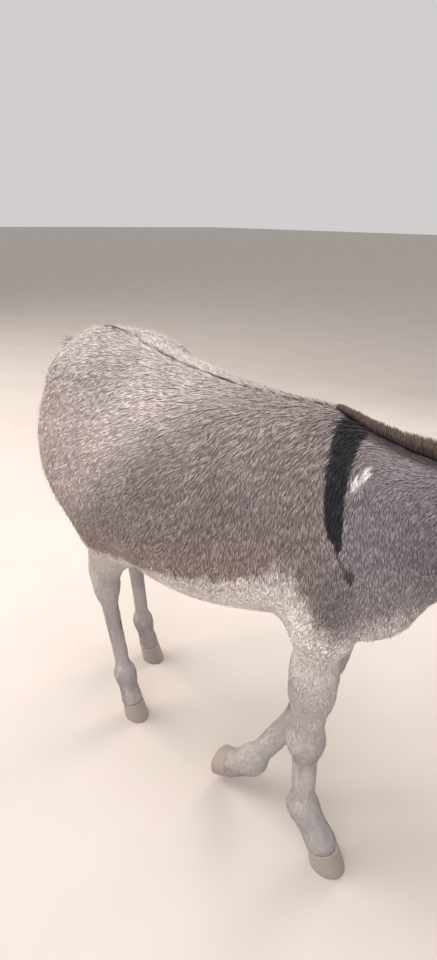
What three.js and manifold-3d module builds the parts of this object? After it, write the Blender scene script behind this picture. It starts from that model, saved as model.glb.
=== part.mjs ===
// A small grey donkey, life size, walking with its left foreleg lifted. Millimetres, +Z up.
// X runs forward to the head and Y to the animal's left. The animal is modelled with the ground
// under its withers at zero, and the finished group is moved so that its box stands on the origin.
//
// The flesh is one blended body: lofted sections carry the trunk, neck and head, tapered rods and
// balls carry the muscles and joints, and every node is a stretch of that body between flat cuts.
import * as THREE from 'three';
import { mergeVertices } from 'three/addons/utils/BufferGeometryUtils.js';
import Module from 'manifold-3d';

const wasm = await Module();
wasm.setup();

// ---------------------------------------------------------------------------------------------
// Driving dimensions
// ---------------------------------------------------------------------------------------------
const SEAM = 0.3;             // clear gap between neighbouring solids
const SIDES = { right: -1, left: 1 };
const AROUND = 18;            // points round a lofted ring
const FACET_TOLERANCE = 1.1;  // how far merging small facets may move the flesh
const SLIVER = 0.12;          // facets finer than this are merged after the cuts

// Trunk and neck: x, height of the top line, height of the underline, half width, and how
// pointed the upper half of the section is (1.5 a ridge, 2 an ellipse).
const TRUNK_SECTIONS = [
  [-798, 900, 800, 30, 2.0],
  [-780, 955, 715, 72, 2.0],
  [-730, 1012, 635, 116, 2.0],
  [-655, 1046, 577, 152, 2.1],
  [-570, 1046, 540, 180, 2.15],
  [-460, 1022, 522, 204, 2.1],
  [-340, 1004, 515, 222, 2.0],
  [-220, 996, 526, 222, 1.9],
  [-100, 994, 556, 198, 1.75],
  [0, 994, 590, 160, 1.55],
  [80, 975, 622, 130, 1.5],
  [150, 964, 688, 103, 1.55],
  [215, 960, 737, 86, 1.6],
  [300, 962, 764, 73, 1.7],
  [400, 972, 782, 62, 1.8],
  [490, 985, 800, 54, 1.9],
  [545, 960, 840, 30, 2.0],
];
const TRUNK_MIDLINE = 0.46;   // height of the widest line, as a share of the section
const TRUNK_KEEL = 2.1;       // fullness of the lower half of the section

// Head: distance from the poll, forehead line, jaw line, half width, fullness of the brow side.
const HEAD_SECTIONS = [
  [-30, -30, -100, 40, 2.0],
  [0, 0, -150, 60, 2.0],
  [55, 15, -184, 77, 2.2],
  [115, 18, -194, 84, 2.5],
  [165, 12, -186, 82, 2.6],
  [215, 2, -168, 69, 2.5],
  [270, -7, -148, 57, 2.4],
  [330, -14, -132, 51, 2.3],
  [390, -18, -128, 52, 2.4],
  [436, -29, -126, 48, 2.3],
  [462, -50, -114, 31, 2.1],
];
const HEAD_MIDLINE = 0.58;
const HEAD_KEEL = 2.1;
const POLL = [520, 0, 985];
const HEAD_DROOP = 52;        // degrees below level

const EYE_RADIUS = 19;
const EYE_FACETS = 2;
const EYE_PLACE = [163, -36, 70];         // from the poll: along, up, out
const EAR_LENGTH = 250;
const EAR_ROOT = [14, 6, 44];             // from the poll: along, up, out
const EAR_DIRECTION = [-0.16, 0.31, 0.94];
const EAR_OPENING = [0.88, 0.47, -0.05];  // the hollow faces forward and out
const EAR_SINK = 26;                      // length of the root inside the head's pedicle
const EAR_ROLL_RADIUS = 34;               // of the rolled sheet at its widest
const EAR_SHEET = 10;                     // thickness over the hair
const EAR_LEAN = 34;                      // how far the tip curves back
const EAR_STATIONS = [0, 0.12, 0.25, 0.4, 0.55, 0.7, 0.82, 0.91, 0.965, 1];
const EAR_STEPS = 5;                      // facets across the sheet
const PEDICLE = { from: -10, past: 6, radii: [30, 27], blend: 24 };

const MANE_FRONT = 548;
const MANE_BACK = -6;
const MANE_HEIGHT = 40;
const MANE_HALF_WIDTH = 13;
const MANE_ROOT = 22;         // depth that the crest hides
const MANE_STATIONS = 12;
// The mane's section: across as a share of the half width, up as a share of the height or root.
const MANE_OUTLINE = [
  [-1, -0.9], [1, -0.9], [1, 0.1], [0.85, 0.6], [0.4, 1], [-0.4, 1], [-0.85, 0.6], [-1, 0.1],
];

// Joints of each leg: x, distance from the midline, height.
const FORE_RIGHT = {
  elbow: [56, 78, 605], carpus: [33, 45, 310], fetlock: [40, 40, 114], coronet: [94, 39, 48],
};
const FORE_LEFT = {
  elbow: [18, 64, 602], carpus: [-28, 50, 282], fetlock: [-109, -37, 119],
};
const HIND_RIGHT = {
  stifle: [-500, 110, 600], hock: [-597, 80, 385], fetlock: [-542, 77, 122], coronet: [-516, 77, 46],
};
const HIND_LEFT = {
  stifle: [-530, 110, 600], hock: [-720, 103, 385], fetlock: [-687, 102, 122], coronet: [-661, 102, 46],
};
const HOOF_CENTRES = { foreRight: [114, -39, 0], hindRight: [-499, -77, 0], hindLeft: [-644, 102, 0] };
// Muscles and bony points laid over the trunk, for the animal's own side: rods run from one place
// to another and taper, balls are ellipsoids, `blend` is how widely each melts into the rest, and
// `flat` is a rod's thickness across the body as a share of its depth.
const SHOULDER = [
  { from: [-20, 55, 870], to: [139, 83, 742], radii: [55, 69], blend: 80, flat: 0.50 },   // blade
  { from: [129, 79, 748], to: [66, 82, 672], radii: [60, 58], blend: 60, flat: 0.60 },    // upper arm
];
const HAUNCH = [
  { centre: [-600, 88, 790], radii: [150, 92, 190], blend: 80 },                          // thigh
  { from: [-590, 98, 740], to: [-530, 108, 620], radii: [115, 85], blend: 80, flat: 0.68 },
  { centre: [-580, 102, 955], radii: [75, 50, 40], blend: 80 },                           // hip
  { centre: [-745, 58, 870], radii: [45, 38, 50], blend: 60 },                            // buttock
];
// The same for the head, from the poll: along, up, out.
const FACE = [
  { centre: [95, -108, 52], radii: [76, 30, 70], blend: 30 },                             // cheek
  { centre: [160, -22, 64], radii: [42, 17, 18], blend: 30 },                             // brow
  { from: [190, -68, 66], to: [300, -84, 46], radii: [12, 8], blend: 30, flat: 1 },       // crest
  { centre: [424, -46, 34], radii: [27, 16, 22], blend: 20 },                             // nostril
];
const CHIN = { centre: [440, -102, 0], radii: [24, 32, 20], blend: 20 };
const BARREL_BLEND = 20;
const FACE_BLEND = 40;

// Thickness of the legs. A limb's flat is below one where it is narrower across than front to back.
const FORE_LIMB = {
  shoulder: 57, forearm: 43, muscle: 44, wrist: 33, carpus: [38, 36, 45],
  cannon: 31, pasternTop: 29, coronet: 35, fetlock: [35, 31, 36],
};
const HIND_LIMB = {
  thigh: 80, gaskin: 34, hamstring: 62, tendon: 14, hock: [40, 31, 52], point: [18, 17, 24],
  cannon: 28, pasternTop: 24, coronet: 30, fetlock: [30, 27, 31],
};
const POINT_OF_HOCK = [-32, 0, 40];       // from the middle of the hock
const HAMSTRING_ROOT = [-690, 80, 715];
const LIFTED_PASTERN = 66;    // length from fetlock to coronet
const LIFTED_DIRECTION = [-0.72, -0.08, -0.68];   // of the lifted pastern, bent back

// Boxes that each leg's facets are made in: lowest and highest corner.
const LEG_BOXES = {
  foreleg_right: [[-60, -150, -20], [190, 10, 660]],
  foreleg_left: [[-260, -150, 10], [180, 160, 660]],
  hindleg_right: [[-760, -190, -20], [-400, -20, 640]],
  hindleg_left: [[-800, 20, -20], [-430, 190, 640]],
};
const FORE_HOOF = { toe: 43, heel: 36, half: 36, height: 52, heelHeight: 34, crown: 31.5 };
const HIND_HOOF = { toe: 39, heel: 31, half: 31, height: 50, heelHeight: 33, crown: 27 };
const PASTERN_ANGLE = 50;     // slope of pastern and hoof wall, degrees from the ground
const CROWN_BEVEL = 14;       // slope of the cut across the coronet, degrees
const HOOF_LEVELS = [0, 0.5, 1, 1.4];     // rings of the hoof wall, as shares of its height
const HOOF_DRIFT = 0.42;      // how much of the toe's slope the whole hoof leans back with
const LIFTED_HOOF = { sink: 6, ahead: 20 };   // how the lifted hoof sits on its coronet

const TAIL_CURVE = [[-785, 0, 972], [-832, 4, 940], [-862, 12, 855], [-866, 22, 740], [-860, 30, 620]];
const TAIL_RADII = [27, 24, 19, 16, 15];
const TUFT_BOTTOM = [-850, 36, 400];
const TUFT_RADIUS = 27;
const TUFT_SIDES = 12;
// The tuft's thickness along its length, as shares of both.
const TUFT_SWELL = [[0, 0.62], [0.25, 0.92], [0.5, 1], [0.75, 0.78], [0.92, 0.42], [1, 0.12]];
const TUFT_FLAT = 0.8;

// Flat cuts between the parts of the body, each through two points of the side view.
const NECK_CUT = [[52, 990], [240, 690]];
const HEAD_CUT = [[500, 990], [402, 765]];
const FORE_CUT = [[-50, 545], [150, 598]];
const HIND_CUT = [[-430, 497], [-750, 560]];

// Facet sizes along x, y and z for each kind of part.
const CELLS = {
  trunk: [50, 38, 38], neck: [36, 27, 32], head: [22, 17, 22],
  foreleg: [20, 19, 33], lifted: [23, 20, 23], hindleg: [21, 18, 33], tail: [17, 15, 36],
};

// ---------------------------------------------------------------------------------------------
// Small vector helpers on [x, y, z]
// ---------------------------------------------------------------------------------------------
const add = (a, b, t = 1) => [a[0] + b[0] * t, a[1] + b[1] * t, a[2] + b[2] * t];
const sub = (a, b) => add(a, b, -1);
const dot = (a, b) => a[0] * b[0] + a[1] * b[1] + a[2] * b[2];
const cross = (a, b) => [
  a[1] * b[2] - a[2] * b[1], a[2] * b[0] - a[0] * b[2], a[0] * b[1] - a[1] * b[0],
];
const scale = (a, t) => [a[0] * t, a[1] * t, a[2] * t];
const unit = (a) => scale(a, 1 / Math.hypot(...a));
const square = (v, n) => unit(add(v, n, -dot(v, n)));   // v made perpendicular to the unit n
const mix = (a, b, t) => a + (b - a) * t;
const between = (a, b, t) => a.map((v, i) => mix(v, b[i], t));
const clamp = (v, low, high) => Math.min(Math.max(v, low), high);
const radians = THREE.MathUtils.degToRad;
const mirrored = (p, side) => [p[0], p[1] * side, p[2]];

// A smooth curve through the values of one column of a table, by cubic Hermite pieces.
function through(table, column, x) {
  const last = table.length - 1;
  let i = 0;
  while (i < last - 1 && x > table[i + 1][0]) i += 1;
  const slope = (k) => (table[k + 1][column] - table[k][column]) / (table[k + 1][0] - table[k][0]);
  const tangent = (k) => {
    if (k === 0) return slope(0);
    if (k === last) return slope(last - 1);
    const before = table[k][0] - table[k - 1][0];
    const after = table[k + 1][0] - table[k][0];
    return (slope(k - 1) * after + slope(k) * before) / (before + after);
  };
  const h = table[i + 1][0] - table[i][0];
  const t = clamp((x - table[i][0]) / h, 0, 1);
  const t2 = t * t;
  const t3 = t2 * t;
  return (2 * t3 - 3 * t2 + 1) * table[i][column] + (t3 - 2 * t2 + t) * h * tangent(i)
    + (3 * t2 - 2 * t3) * table[i + 1][column] + (t3 - t2) * h * tangent(i + 1);
}

// ---------------------------------------------------------------------------------------------
// The blended body: each shape gives its distance to a point, negative inside
// ---------------------------------------------------------------------------------------------
function rod(a, b, startRadius, endRadius, blend, flat = 1) {
  const length = Math.hypot(...sub(b, a));
  const axis = unit(sub(b, a));
  const side = square([0, 1, 0], axis);
  const face = cross(side, axis);
  const reach = Math.max(startRadius, endRadius) + blend;
  const distance = (p) => {
    const q = sub(p, a);
    const along = dot(q, axis);
    const t = clamp(along / length, 0, 1);
    const past = along - t * length;
    const across = Math.hypot(dot(q, face), dot(q, side) / flat, past);
    return (across - mix(startRadius, endRadius, t)) * Math.min(1, flat);
  };
  return {
    distance,
    blend,
    low: a.map((v, i) => Math.min(v, b[i]) - reach),
    high: a.map((v, i) => Math.max(v, b[i]) + reach),
  };
}

function ball(centre, radii, blend, axes = [[1, 0, 0], [0, 1, 0], [0, 0, 1]]) {
  const reach = Math.max(...radii) + blend;
  const distance = (p) => {
    const q = sub(p, centre);
    const local = axes.map((axis) => dot(q, axis));
    const near = Math.hypot(...local.map((v, i) => v / radii[i]));
    const slope = Math.hypot(...local.map((v, i) => v / radii[i] ** 2));
    return slope > 1e-9 ? near * (near - 1) / slope : -Math.min(...radii);
  };
  return { distance, blend, low: centre.map((v) => v - reach), high: centre.map((v) => v + reach) };
}

// Sections [s, top, bottom, half width, upper fullness] carried along `along` from `origin`.
function sectioned(table, midline, keel, blend, origin, along, up) {
  const side = cross(up, along);
  const first = table[0][0];
  const last = table[table.length - 1][0];
  const distance = (p) => {
    const q = sub(p, origin);
    const s = clamp(dot(q, along), first, last);
    const past = dot(q, along) - s;
    const [top, bottom, half, crown] = [1, 2, 3, 4].map((column) => through(table, column, s));
    const middle = bottom + (top - bottom) * midline;
    const height = dot(q, up) - middle;
    const width = dot(q, side);
    const reach = height > 0 ? top - middle : middle - bottom;
    const power = height > 0 ? crown : keel;
    const ratio = (Math.abs(height / reach) ** power + Math.abs(width / half) ** power) ** (1 / power);
    const inward = ratio > 1e-6 ? (ratio - 1) * Math.hypot(height, width) / ratio : -Math.min(reach, half);
    return past === 0 ? inward : Math.hypot(Math.max(inward, 0), past);
  };
  const corners = table.flatMap(([s, top, bottom, half]) => [top, bottom].flatMap((z) => [-half, half]
    .map((y) => add(add(add(origin, along, s), up, z), side, y))));
  const margin = blend + 20;
  return {
    distance,
    blend,
    low: [0, 1, 2].map((i) => Math.min(...corners.map((c) => c[i])) - margin),
    high: [0, 1, 2].map((i) => Math.max(...corners.map((c) => c[i])) + margin),
  };
}

const FAR = 1000;
function bodyDistance(shapes, p) {
  let nearest = FAR;
  for (const shape of shapes) {
    const inside = p.every((v, i) => v > shape.low[i] && v < shape.high[i]);
    if (!inside) continue;
    const d = shape.distance(p);
    const overlap = Math.max(shape.blend - Math.abs(nearest - d), 0) / shape.blend;
    nearest = Math.min(nearest, d) - overlap * overlap * shape.blend / 4;
  }
  return nearest;
}

// ---------------------------------------------------------------------------------------------
// From the blended body to facets: one point in each cell that the surface crosses, moved onto it
// ---------------------------------------------------------------------------------------------
const CORNERS = [0, 1].flatMap((i) => [0, 1].flatMap((j) => [0, 1].map((k) => [i, j, k])));
const EDGES = CORNERS.flatMap((a) => [0, 1, 2].filter((axis) => a[axis] === 0)
  .map((axis) => [a, a.map((v, i) => (i === axis ? 1 : v))]));

function facets(distance, low, high, cell) {
  const counts = cell.map((size, i) => Math.ceil((high[i] - low[i]) / size) + 1);
  const [nx, ny, nz] = counts;
  const index = (i, j, k) => (i * ny + j) * nz + k;
  const place = (i, j, k) => [low[0] + i * cell[0], low[1] + j * cell[1], low[2] + k * cell[2]];
  const values = new Float64Array(nx * ny * nz);
  for (let i = 0; i < nx; i += 1) {
    for (let j = 0; j < ny; j += 1) {
      for (let k = 0; k < nz; k += 1) values[index(i, j, k)] = distance(place(i, j, k));
    }
  }
  const points = [];
  const pointOf = new Map();
  for (let i = 0; i < nx - 1; i += 1) {
    for (let j = 0; j < ny - 1; j += 1) {
      for (let k = 0; k < nz - 1; k += 1) {
        const crossings = [];
        for (const [a, b] of EDGES) {
          const va = values[index(i + a[0], j + a[1], k + a[2])];
          const vb = values[index(i + b[0], j + b[1], k + b[2])];
          if ((va < 0) === (vb < 0)) continue;
          const t = va / (va - vb);
          crossings.push(place(i + mix(a[0], b[0], t), j + mix(a[1], b[1], t), k + mix(a[2], b[2], t)));
        }
        if (crossings.length === 0) continue;
        pointOf.set(index(i, j, k), points.length);
        points.push(scale(crossings.reduce((sum, c) => add(sum, c), [0, 0, 0]), 1 / crossings.length));
      }
    }
  }
  const triangles = [];
  for (let i = 1; i < nx - 1; i += 1) {
    for (let j = 1; j < ny - 1; j += 1) {
      for (let k = 1; k < nz - 1; k += 1) {
        const here = [i, j, k];
        const inside = values[index(i, j, k)] < 0;
        for (const axis of [0, 1, 2]) {
          const next = here.map((v, n) => v + (n === axis ? 1 : 0));
          if (inside === values[index(...next)] < 0) continue;
          const [u, v] = [(axis + 1) % 3, (axis + 2) % 3];
          const ring = [[-1, -1], [0, -1], [0, 0], [-1, 0]].map(([du, dv]) => {
            const corner = [...here];
            corner[u] += du;
            corner[v] += dv;
            return pointOf.get(index(...corner));
          });
          if (!inside) ring.reverse();
          triangles.push([ring[0], ring[1], ring[2]], [ring[0], ring[2], ring[3]]);
        }
      }
    }
  }
  return { points, triangles };
}

const STEP = 0.5;
function ontoSurface(distance, p, level) {
  let q = p;
  for (let pass = 0; pass < 4; pass += 1) {
    const slope = [0, 1, 2].map((axis) => {
      const shift = [0, 0, 0];
      shift[axis] = STEP;
      return (distance(add(q, shift)) - distance(sub(q, shift))) / (2 * STEP);
    });
    const steepness = Math.max(dot(slope, slope), 0.25);
    q = add(q, slope, -clamp((distance(q) - level) / steepness, -8, 8));
  }
  return q;
}

function manifoldFrom(points, triangles) {
  return new wasm.Manifold(new wasm.Mesh({
    numProp: 3,
    vertProperties: new Float32Array(points.flat()),
    triVerts: new Uint32Array(triangles.flat()),
  }));
}

// The flesh of one node, and the same flesh grown by the seam for cutting its neighbours.
function flesh(shapes, low, high, cell) {
  const fenced = (p) => Math.max(
    bodyDistance(shapes, p),
    ...[0, 1, 2].map((i) => Math.max(low[i] + cell[i] - p[i], p[i] - (high[i] - cell[i]))),
  );
  const { points, triangles } = facets(fenced, low, high, cell);
  const onto = (level) => points.map((p) => ontoSurface(fenced, p, level));
  return {
    solid: manifoldFrom(onto(0), triangles).simplify(FACET_TOLERANCE),
    grown: manifoldFrom(onto(FACET_TOLERANCE + SEAM), triangles),
  };
}

// ---------------------------------------------------------------------------------------------
// Lofted solids: rings of points joined in order, with both ends closed
// ---------------------------------------------------------------------------------------------
function lofted(rings) {
  const points = rings.flat();
  const around = rings[0].length;
  const triangles = [];
  for (let r = 0; r < rings.length - 1; r += 1) {
    for (let i = 0; i < around; i += 1) {
      const a = r * around + i;
      const b = r * around + (i + 1) % around;
      triangles.push([a, b, b + around], [a, b + around, a + around]);
    }
  }
  [0, rings.length - 1].forEach((r) => {
    const centre = points.length;
    points.push(scale(rings[r].reduce((sum, p) => add(sum, p), [0, 0, 0]), 1 / around));
    for (let i = 0; i < around; i += 1) {
      const a = r * around + i;
      const b = r * around + (i + 1) % around;
      triangles.push(r === 0 ? [b, a, centre] : [a, b, centre]);
    }
  });
  const solid = manifoldFrom(points, triangles);
  return solid.volume() > 0 ? solid : manifoldFrom(points, triangles.map(([a, b, c]) => [a, c, b]));
}

// ---------------------------------------------------------------------------------------------
// Planes of the cuts: { normal, offset } keeps the side that the normal points to
// ---------------------------------------------------------------------------------------------
function sideViewPlane([[x0, z0], [x1, z1]]) {
  const normal = unit([z1 - z0, 0, x0 - x1]);
  return { normal, offset: dot(normal, [x0, 0, z0]) };
}
const flipped = ({ normal, offset }) => ({ normal: scale(normal, -1), offset: -offset });
const facing = (plane, direction) => (dot(plane.normal, direction) > 0 ? plane : flipped(plane));
const trimmed = (solid, plane) => solid.trimByPlane(plane.normal, plane.offset + SEAM / 2);

const FORWARD = [1, 0, 0];
const UP = [0, 0, 1];
const neckCut = facing(sideViewPlane(NECK_CUT), FORWARD);
const headCut = facing(sideViewPlane(HEAD_CUT), FORWARD);
const foreCut = facing(sideViewPlane(FORE_CUT), UP);
const hindCut = facing(sideViewPlane(HIND_CUT), UP);

// ---------------------------------------------------------------------------------------------
// Trunk, neck and head
// ---------------------------------------------------------------------------------------------
function barrel() {
  return sectioned(TRUNK_SECTIONS, TRUNK_MIDLINE, TRUNK_KEEL, BARREL_BLEND, [0, 0, 0], FORWARD, UP);
}

// One muscle of a list, with `at` carrying its places into the body's frame.
function muscle({ centre, from, to, radii, blend, flat }, at, axes) {
  if (centre) return ball(at(centre), radii, blend, axes);
  return rod(at(from), at(to), radii[0], radii[1], blend, flat);
}

const onSide = (muscles, side) => muscles.map((shape) => muscle(shape, (p) => mirrored(p, side)));
const shoulder = (side) => onSide(SHOULDER, side);
const haunch = (side) => onSide(HAUNCH, side);

const droop = radians(HEAD_DROOP);
const HEAD_ALONG = [Math.cos(droop), 0, -Math.sin(droop)];
const HEAD_UP = [Math.sin(droop), 0, Math.cos(droop)];
const HEAD_SIDE = cross(HEAD_UP, HEAD_ALONG);
const onHead = ([along, up, out], side) => add(
  add(add(POLL, HEAD_ALONG, along), HEAD_UP, up), HEAD_SIDE, out * side,
);

function head() {
  const axes = [HEAD_ALONG, HEAD_SIDE, HEAD_UP];
  const skull = sectioned(HEAD_SECTIONS, HEAD_MIDLINE, HEAD_KEEL, FACE_BLEND, POLL, HEAD_ALONG, HEAD_UP);
  const sides = Object.values(SIDES)
    .flatMap((side) => FACE.map((shape) => muscle(shape, (p) => onHead(p, side), axes)));
  return [skull, ...sides, muscle(CHIN, (p) => onHead(p, SIDES.left), axes)];
}

// ---------------------------------------------------------------------------------------------
// Ears: a rolled sheet on a pedicle, wider in the middle and closed at the root
// ---------------------------------------------------------------------------------------------
function earFrame(side) {
  const along = unit(mirrored(EAR_DIRECTION, side));
  const opening = square(mirrored(EAR_OPENING, side), along);
  return { root: onHead(EAR_ROOT, side), along, opening, across: cross(along, opening) };
}

// Radius of the roll, half of its opening angle's rest, and half the sheet's thickness at s.
function earSection(s) {
  const radius = EAR_ROLL_RADIUS * (0.62 + 0.38 * Math.sin(Math.PI * Math.min(s / 0.9, 1)))
    * Math.sqrt(Math.max(1 - s ** 4, 0.02));
  const halfSpan = radians(mix(125, 84, clamp(s / 0.45, 0, 1)));
  const half = mix(mix(11, EAR_SHEET / 2, clamp(s / 0.3, 0, 1)), 3, clamp((s - 0.8) / 0.2, 0, 1));
  return { radius, halfSpan, half };
}

function earRing(frame, s) {
  const { radius, halfSpan, half } = earSection(s);
  const centre = add(add(frame.root, frame.along, EAR_LENGTH * s), frame.opening, -EAR_LEAN * s * s);
  const at = (angle, r) => add(
    add(centre, frame.across, Math.sin(angle) * r), frame.opening, -Math.cos(angle) * r,
  );
  const sweep = (start, end, r) => Array.from(
    { length: EAR_STEPS + 1 },
    (_, i) => at(mix(start, end, i / EAR_STEPS), r),
  );
  const rim = halfSpan + half / radius;
  return [
    ...sweep(-halfSpan, halfSpan, radius + half), at(rim, radius),
    ...sweep(halfSpan, -halfSpan, radius - half), at(-rim, radius),
  ];
}

function ear(side) {
  const frame = earFrame(side);
  const sheet = lofted(EAR_STATIONS.map((s) => earRing(frame, s)));
  return trimmed(sheet, earCut(side));
}

function earCut(side) {
  const { root, along } = earFrame(side);
  return { normal: along, offset: dot(along, add(root, along, EAR_SINK)) };
}

function pedicle(side) {
  const { root, along } = earFrame(side);
  const { from, past, radii, blend } = PEDICLE;
  return rod(add(root, along, from), add(root, along, EAR_SINK + past), radii[0], radii[1], blend);
}

// ---------------------------------------------------------------------------------------------
// Legs and hooves
// ---------------------------------------------------------------------------------------------
function foreleg({ elbow, carpus, fetlock, coronet }) {
  const size = FORE_LIMB;
  return [
    rod(elbow, between(elbow, carpus, 0.5), size.shoulder, size.forearm, 50, 0.80),
    rod(between(elbow, carpus, 0.3), carpus, size.muscle, size.wrist, 30, 0.95),
    ball(carpus, size.carpus, 25),
    rod(carpus, fetlock, size.cannon, size.cannon - 4, 20, 0.88),
    ball(fetlock, size.fetlock, 20),
    rod(fetlock, coronet, size.pasternTop, size.coronet, 20),
  ];
}

function hindleg({ stifle, hock, fetlock, coronet }, side) {
  const size = HIND_LIMB;
  const point = add(hock, POINT_OF_HOCK);
  return [
    rod(stifle, add(hock, [5, 0, 30]), size.thigh, size.gaskin, 50, 0.66),
    rod(mirrored(HAMSTRING_ROOT, side), point, size.hamstring, size.tendon, 60, 0.55),
    ball(hock, size.hock, 25),
    ball(point, size.point, 25),
    rod(add(hock, [0, 0, -20]), fetlock, size.cannon, size.cannon - 5, 20, 0.82),
    ball(fetlock, size.fetlock, 20),
    rod(fetlock, coronet, size.pasternTop, size.coronet, 20),
  ];
}

const legJoints = (joints, side) => Object.fromEntries(
  Object.entries(joints).map(([name, p]) => [name, mirrored(p, side)]),
);

// The lifted foot hangs from its fetlock with the toe down and the sole to the rear.
function liftedFoot({ fetlock }) {
  const pastern = unit(LIFTED_DIRECTION);
  const dorsal = square(FORWARD, pastern);
  const slope = radians(PASTERN_ANGLE);
  const toe = unit(add(scale(pastern, Math.cos(slope)), dorsal, Math.sin(slope)));
  const up = unit(add(scale(pastern, -Math.sin(slope)), dorsal, Math.cos(slope)));
  const coronet = add(fetlock, pastern, LIFTED_PASTERN);
  return { coronet, toe, up };
}

// A foot's frame: the middle of the sole, the way that the toe points, and the way up the hoof.
const planted = (centre) => ({ centre, toe: FORWARD, up: UP });

function crownPlane({ centre, toe, up }, size) {
  const rise = radians(CROWN_BEVEL);
  const normal = unit(add(scale(up, Math.cos(rise)), toe, -Math.sin(rise)));
  const middle = add(centre, up, (size.height + size.heelHeight) / 2);
  return { normal, offset: dot(normal, middle) };
}

function hoof(foot, size) {
  const side = cross(foot.up, foot.toe);
  const lean = 1 / Math.tan(radians(PASTERN_ANGLE));
  const rings = HOOF_LEVELS.map((level) => Array.from({ length: AROUND }, (_, i) => {
    const angle = 2 * Math.PI * i / AROUND;
    const ahead = Math.cos(angle) > 0 ? size.toe : size.heel;
    const shrink = mix(1, size.crown / size.half, Math.min(level, 1));
    const drift = -lean * size.height * level * HOOF_DRIFT;
    const forward = Math.cos(angle) * ahead * shrink + drift;
    return add(add(add(foot.centre, foot.toe, forward), side, Math.sin(angle) * size.half * shrink),
      foot.up, size.height * level);
  }));
  return trimmed(lofted(rings), flipped(crownPlane(foot, size)));
}

// ---------------------------------------------------------------------------------------------
// Mane and tail
// ---------------------------------------------------------------------------------------------
function mane() {
  const rings = Array.from({ length: MANE_STATIONS }, (_, i) => {
    const t = i / (MANE_STATIONS - 1);
    const x = mix(MANE_BACK, MANE_FRONT, t);
    const ground = through(TRUNK_SECTIONS, 1, Math.min(x, 515));
    const height = MANE_HEIGHT * Math.min(1, 0.25 + 3.2 * t) * Math.min(1, 0.45 + 4 * (1 - t));
    const half = MANE_HALF_WIDTH * Math.min(1, 0.5 + 4 * Math.min(t, 1 - t));
    return MANE_OUTLINE.map(([across, up]) => [
      x, across * half, ground + up * (up < 0 ? MANE_ROOT : height),
    ]);
  });
  return lofted(rings);
}

function tailDock() {
  return TAIL_CURVE.slice(1).map((p, i) => rod(TAIL_CURVE[i], p, TAIL_RADII[i], TAIL_RADII[i + 1], 10));
}

// Hair of the tail's end, from just above the tip of the dock to its own lowest point.
function tailTuft() {
  const top = TAIL_CURVE[TAIL_CURVE.length - 1];
  return lofted(TUFT_SWELL.map(([t, share]) => Array.from({ length: TUFT_SIDES }, (_, i) => {
    const angle = 2 * Math.PI * i / TUFT_SIDES;
    const radius = TUFT_RADIUS * share;
    const spoke = [Math.cos(angle) * radius * TUFT_FLAT, Math.sin(angle) * radius, 0];
    return add(between(top, TUFT_BOTTOM, t), spoke);
  })));
}

// ---------------------------------------------------------------------------------------------
// The nodes
// ---------------------------------------------------------------------------------------------
const COAT = { grey: 0x9a8f8b, cream: 0xd9cfc2, dark: 0x4b3d35, ear: 0x8d817a };
const HORN = 0x6f665e;
const EYE = 0x1d130d;

function meshOf(solid, name, color, roughness) {
  const { numProp, vertProperties, triVerts } = solid.simplify(SLIVER).getMesh();
  const points = new Float32Array(vertProperties.length / numProp * 3);
  for (let i = 0; i < points.length; i += 1) {
    points[i] = vertProperties[Math.floor(i / 3) * numProp + i % 3];
  }
  const geometry = new THREE.BufferGeometry();
  geometry.setAttribute('position', new THREE.BufferAttribute(points, 3));
  geometry.setIndex(new THREE.BufferAttribute(triVerts, 1));
  const mesh = new THREE.Mesh(geometry, new THREE.MeshStandardMaterial({ color, roughness, metalness: 0 }));
  mesh.name = name;
  return mesh;
}

function sphere(centre, radius) {
  const geometry = new THREE.IcosahedronGeometry(radius, EYE_FACETS);
  geometry.deleteAttribute('normal');
  geometry.deleteAttribute('uv');
  geometry.translate(...centre);
  const merged = mergeVertices(geometry, 1e-3);
  return new wasm.Manifold(new wasm.Mesh({
    numProp: 3,
    vertProperties: merged.attributes.position.array,
    triVerts: new Uint32Array(merged.index.array),
  }));
}

const foreRight = legJoints(FORE_RIGHT, SIDES.right);
const foreLeft = legJoints(FORE_LEFT, SIDES.left);
const hindRight = legJoints(HIND_RIGHT, SIDES.right);
const hindLeft = legJoints(HIND_LEFT, SIDES.left);
const lifted = liftedFoot(foreLeft);
foreLeft.coronet = lifted.coronet;

const feet = {
  foreleg_right: { foot: planted(HOOF_CENTRES.foreRight), size: FORE_HOOF },
  foreleg_left: {
    foot: {
      ...lifted,
      centre: add(
        add(lifted.coronet, lifted.up, LIFTED_HOOF.sink - FORE_HOOF.height), lifted.toe, LIFTED_HOOF.ahead,
      ),
    },
    size: FORE_HOOF,
  },
  hindleg_right: { foot: planted(HOOF_CENTRES.hindRight), size: HIND_HOOF },
  hindleg_left: { foot: planted(HOOF_CENTRES.hindLeft), size: HIND_HOOF },
};

const bothSides = (make) => Object.values(SIDES).flatMap((side) => make(side));
const torso = [barrel(), ...bothSides(shoulder), ...bothSides(haunch)];
const legShapes = {
  foreleg_right: foreleg(foreRight),
  foreleg_left: foreleg(foreLeft),
  hindleg_right: hindleg(hindRight, SIDES.right),
  hindleg_left: hindleg(hindLeft, SIDES.left),
};
const headShapes = [barrel(), ...head(), ...bothSides(pedicle)];

function trunkFlesh() {
  const shapes = [...torso, ...Object.values(legShapes).flat()];
  const { solid, grown } = flesh(shapes, [-870, -290, 400], [340, 290, 1110], CELLS.trunk);
  const cuts = [flipped(neckCut), foreCut, hindCut];
  return { solid: cuts.reduce(trimmed, solid), grown };
}

function neckFlesh() {
  const shapes = [...torso, ...head()];
  const { solid, grown } = flesh(shapes, [-50, -160, 560], [640, 160, 1060], CELLS.neck);
  return { solid: [neckCut, flipped(headCut)].reduce(trimmed, solid), grown };
}

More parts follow.
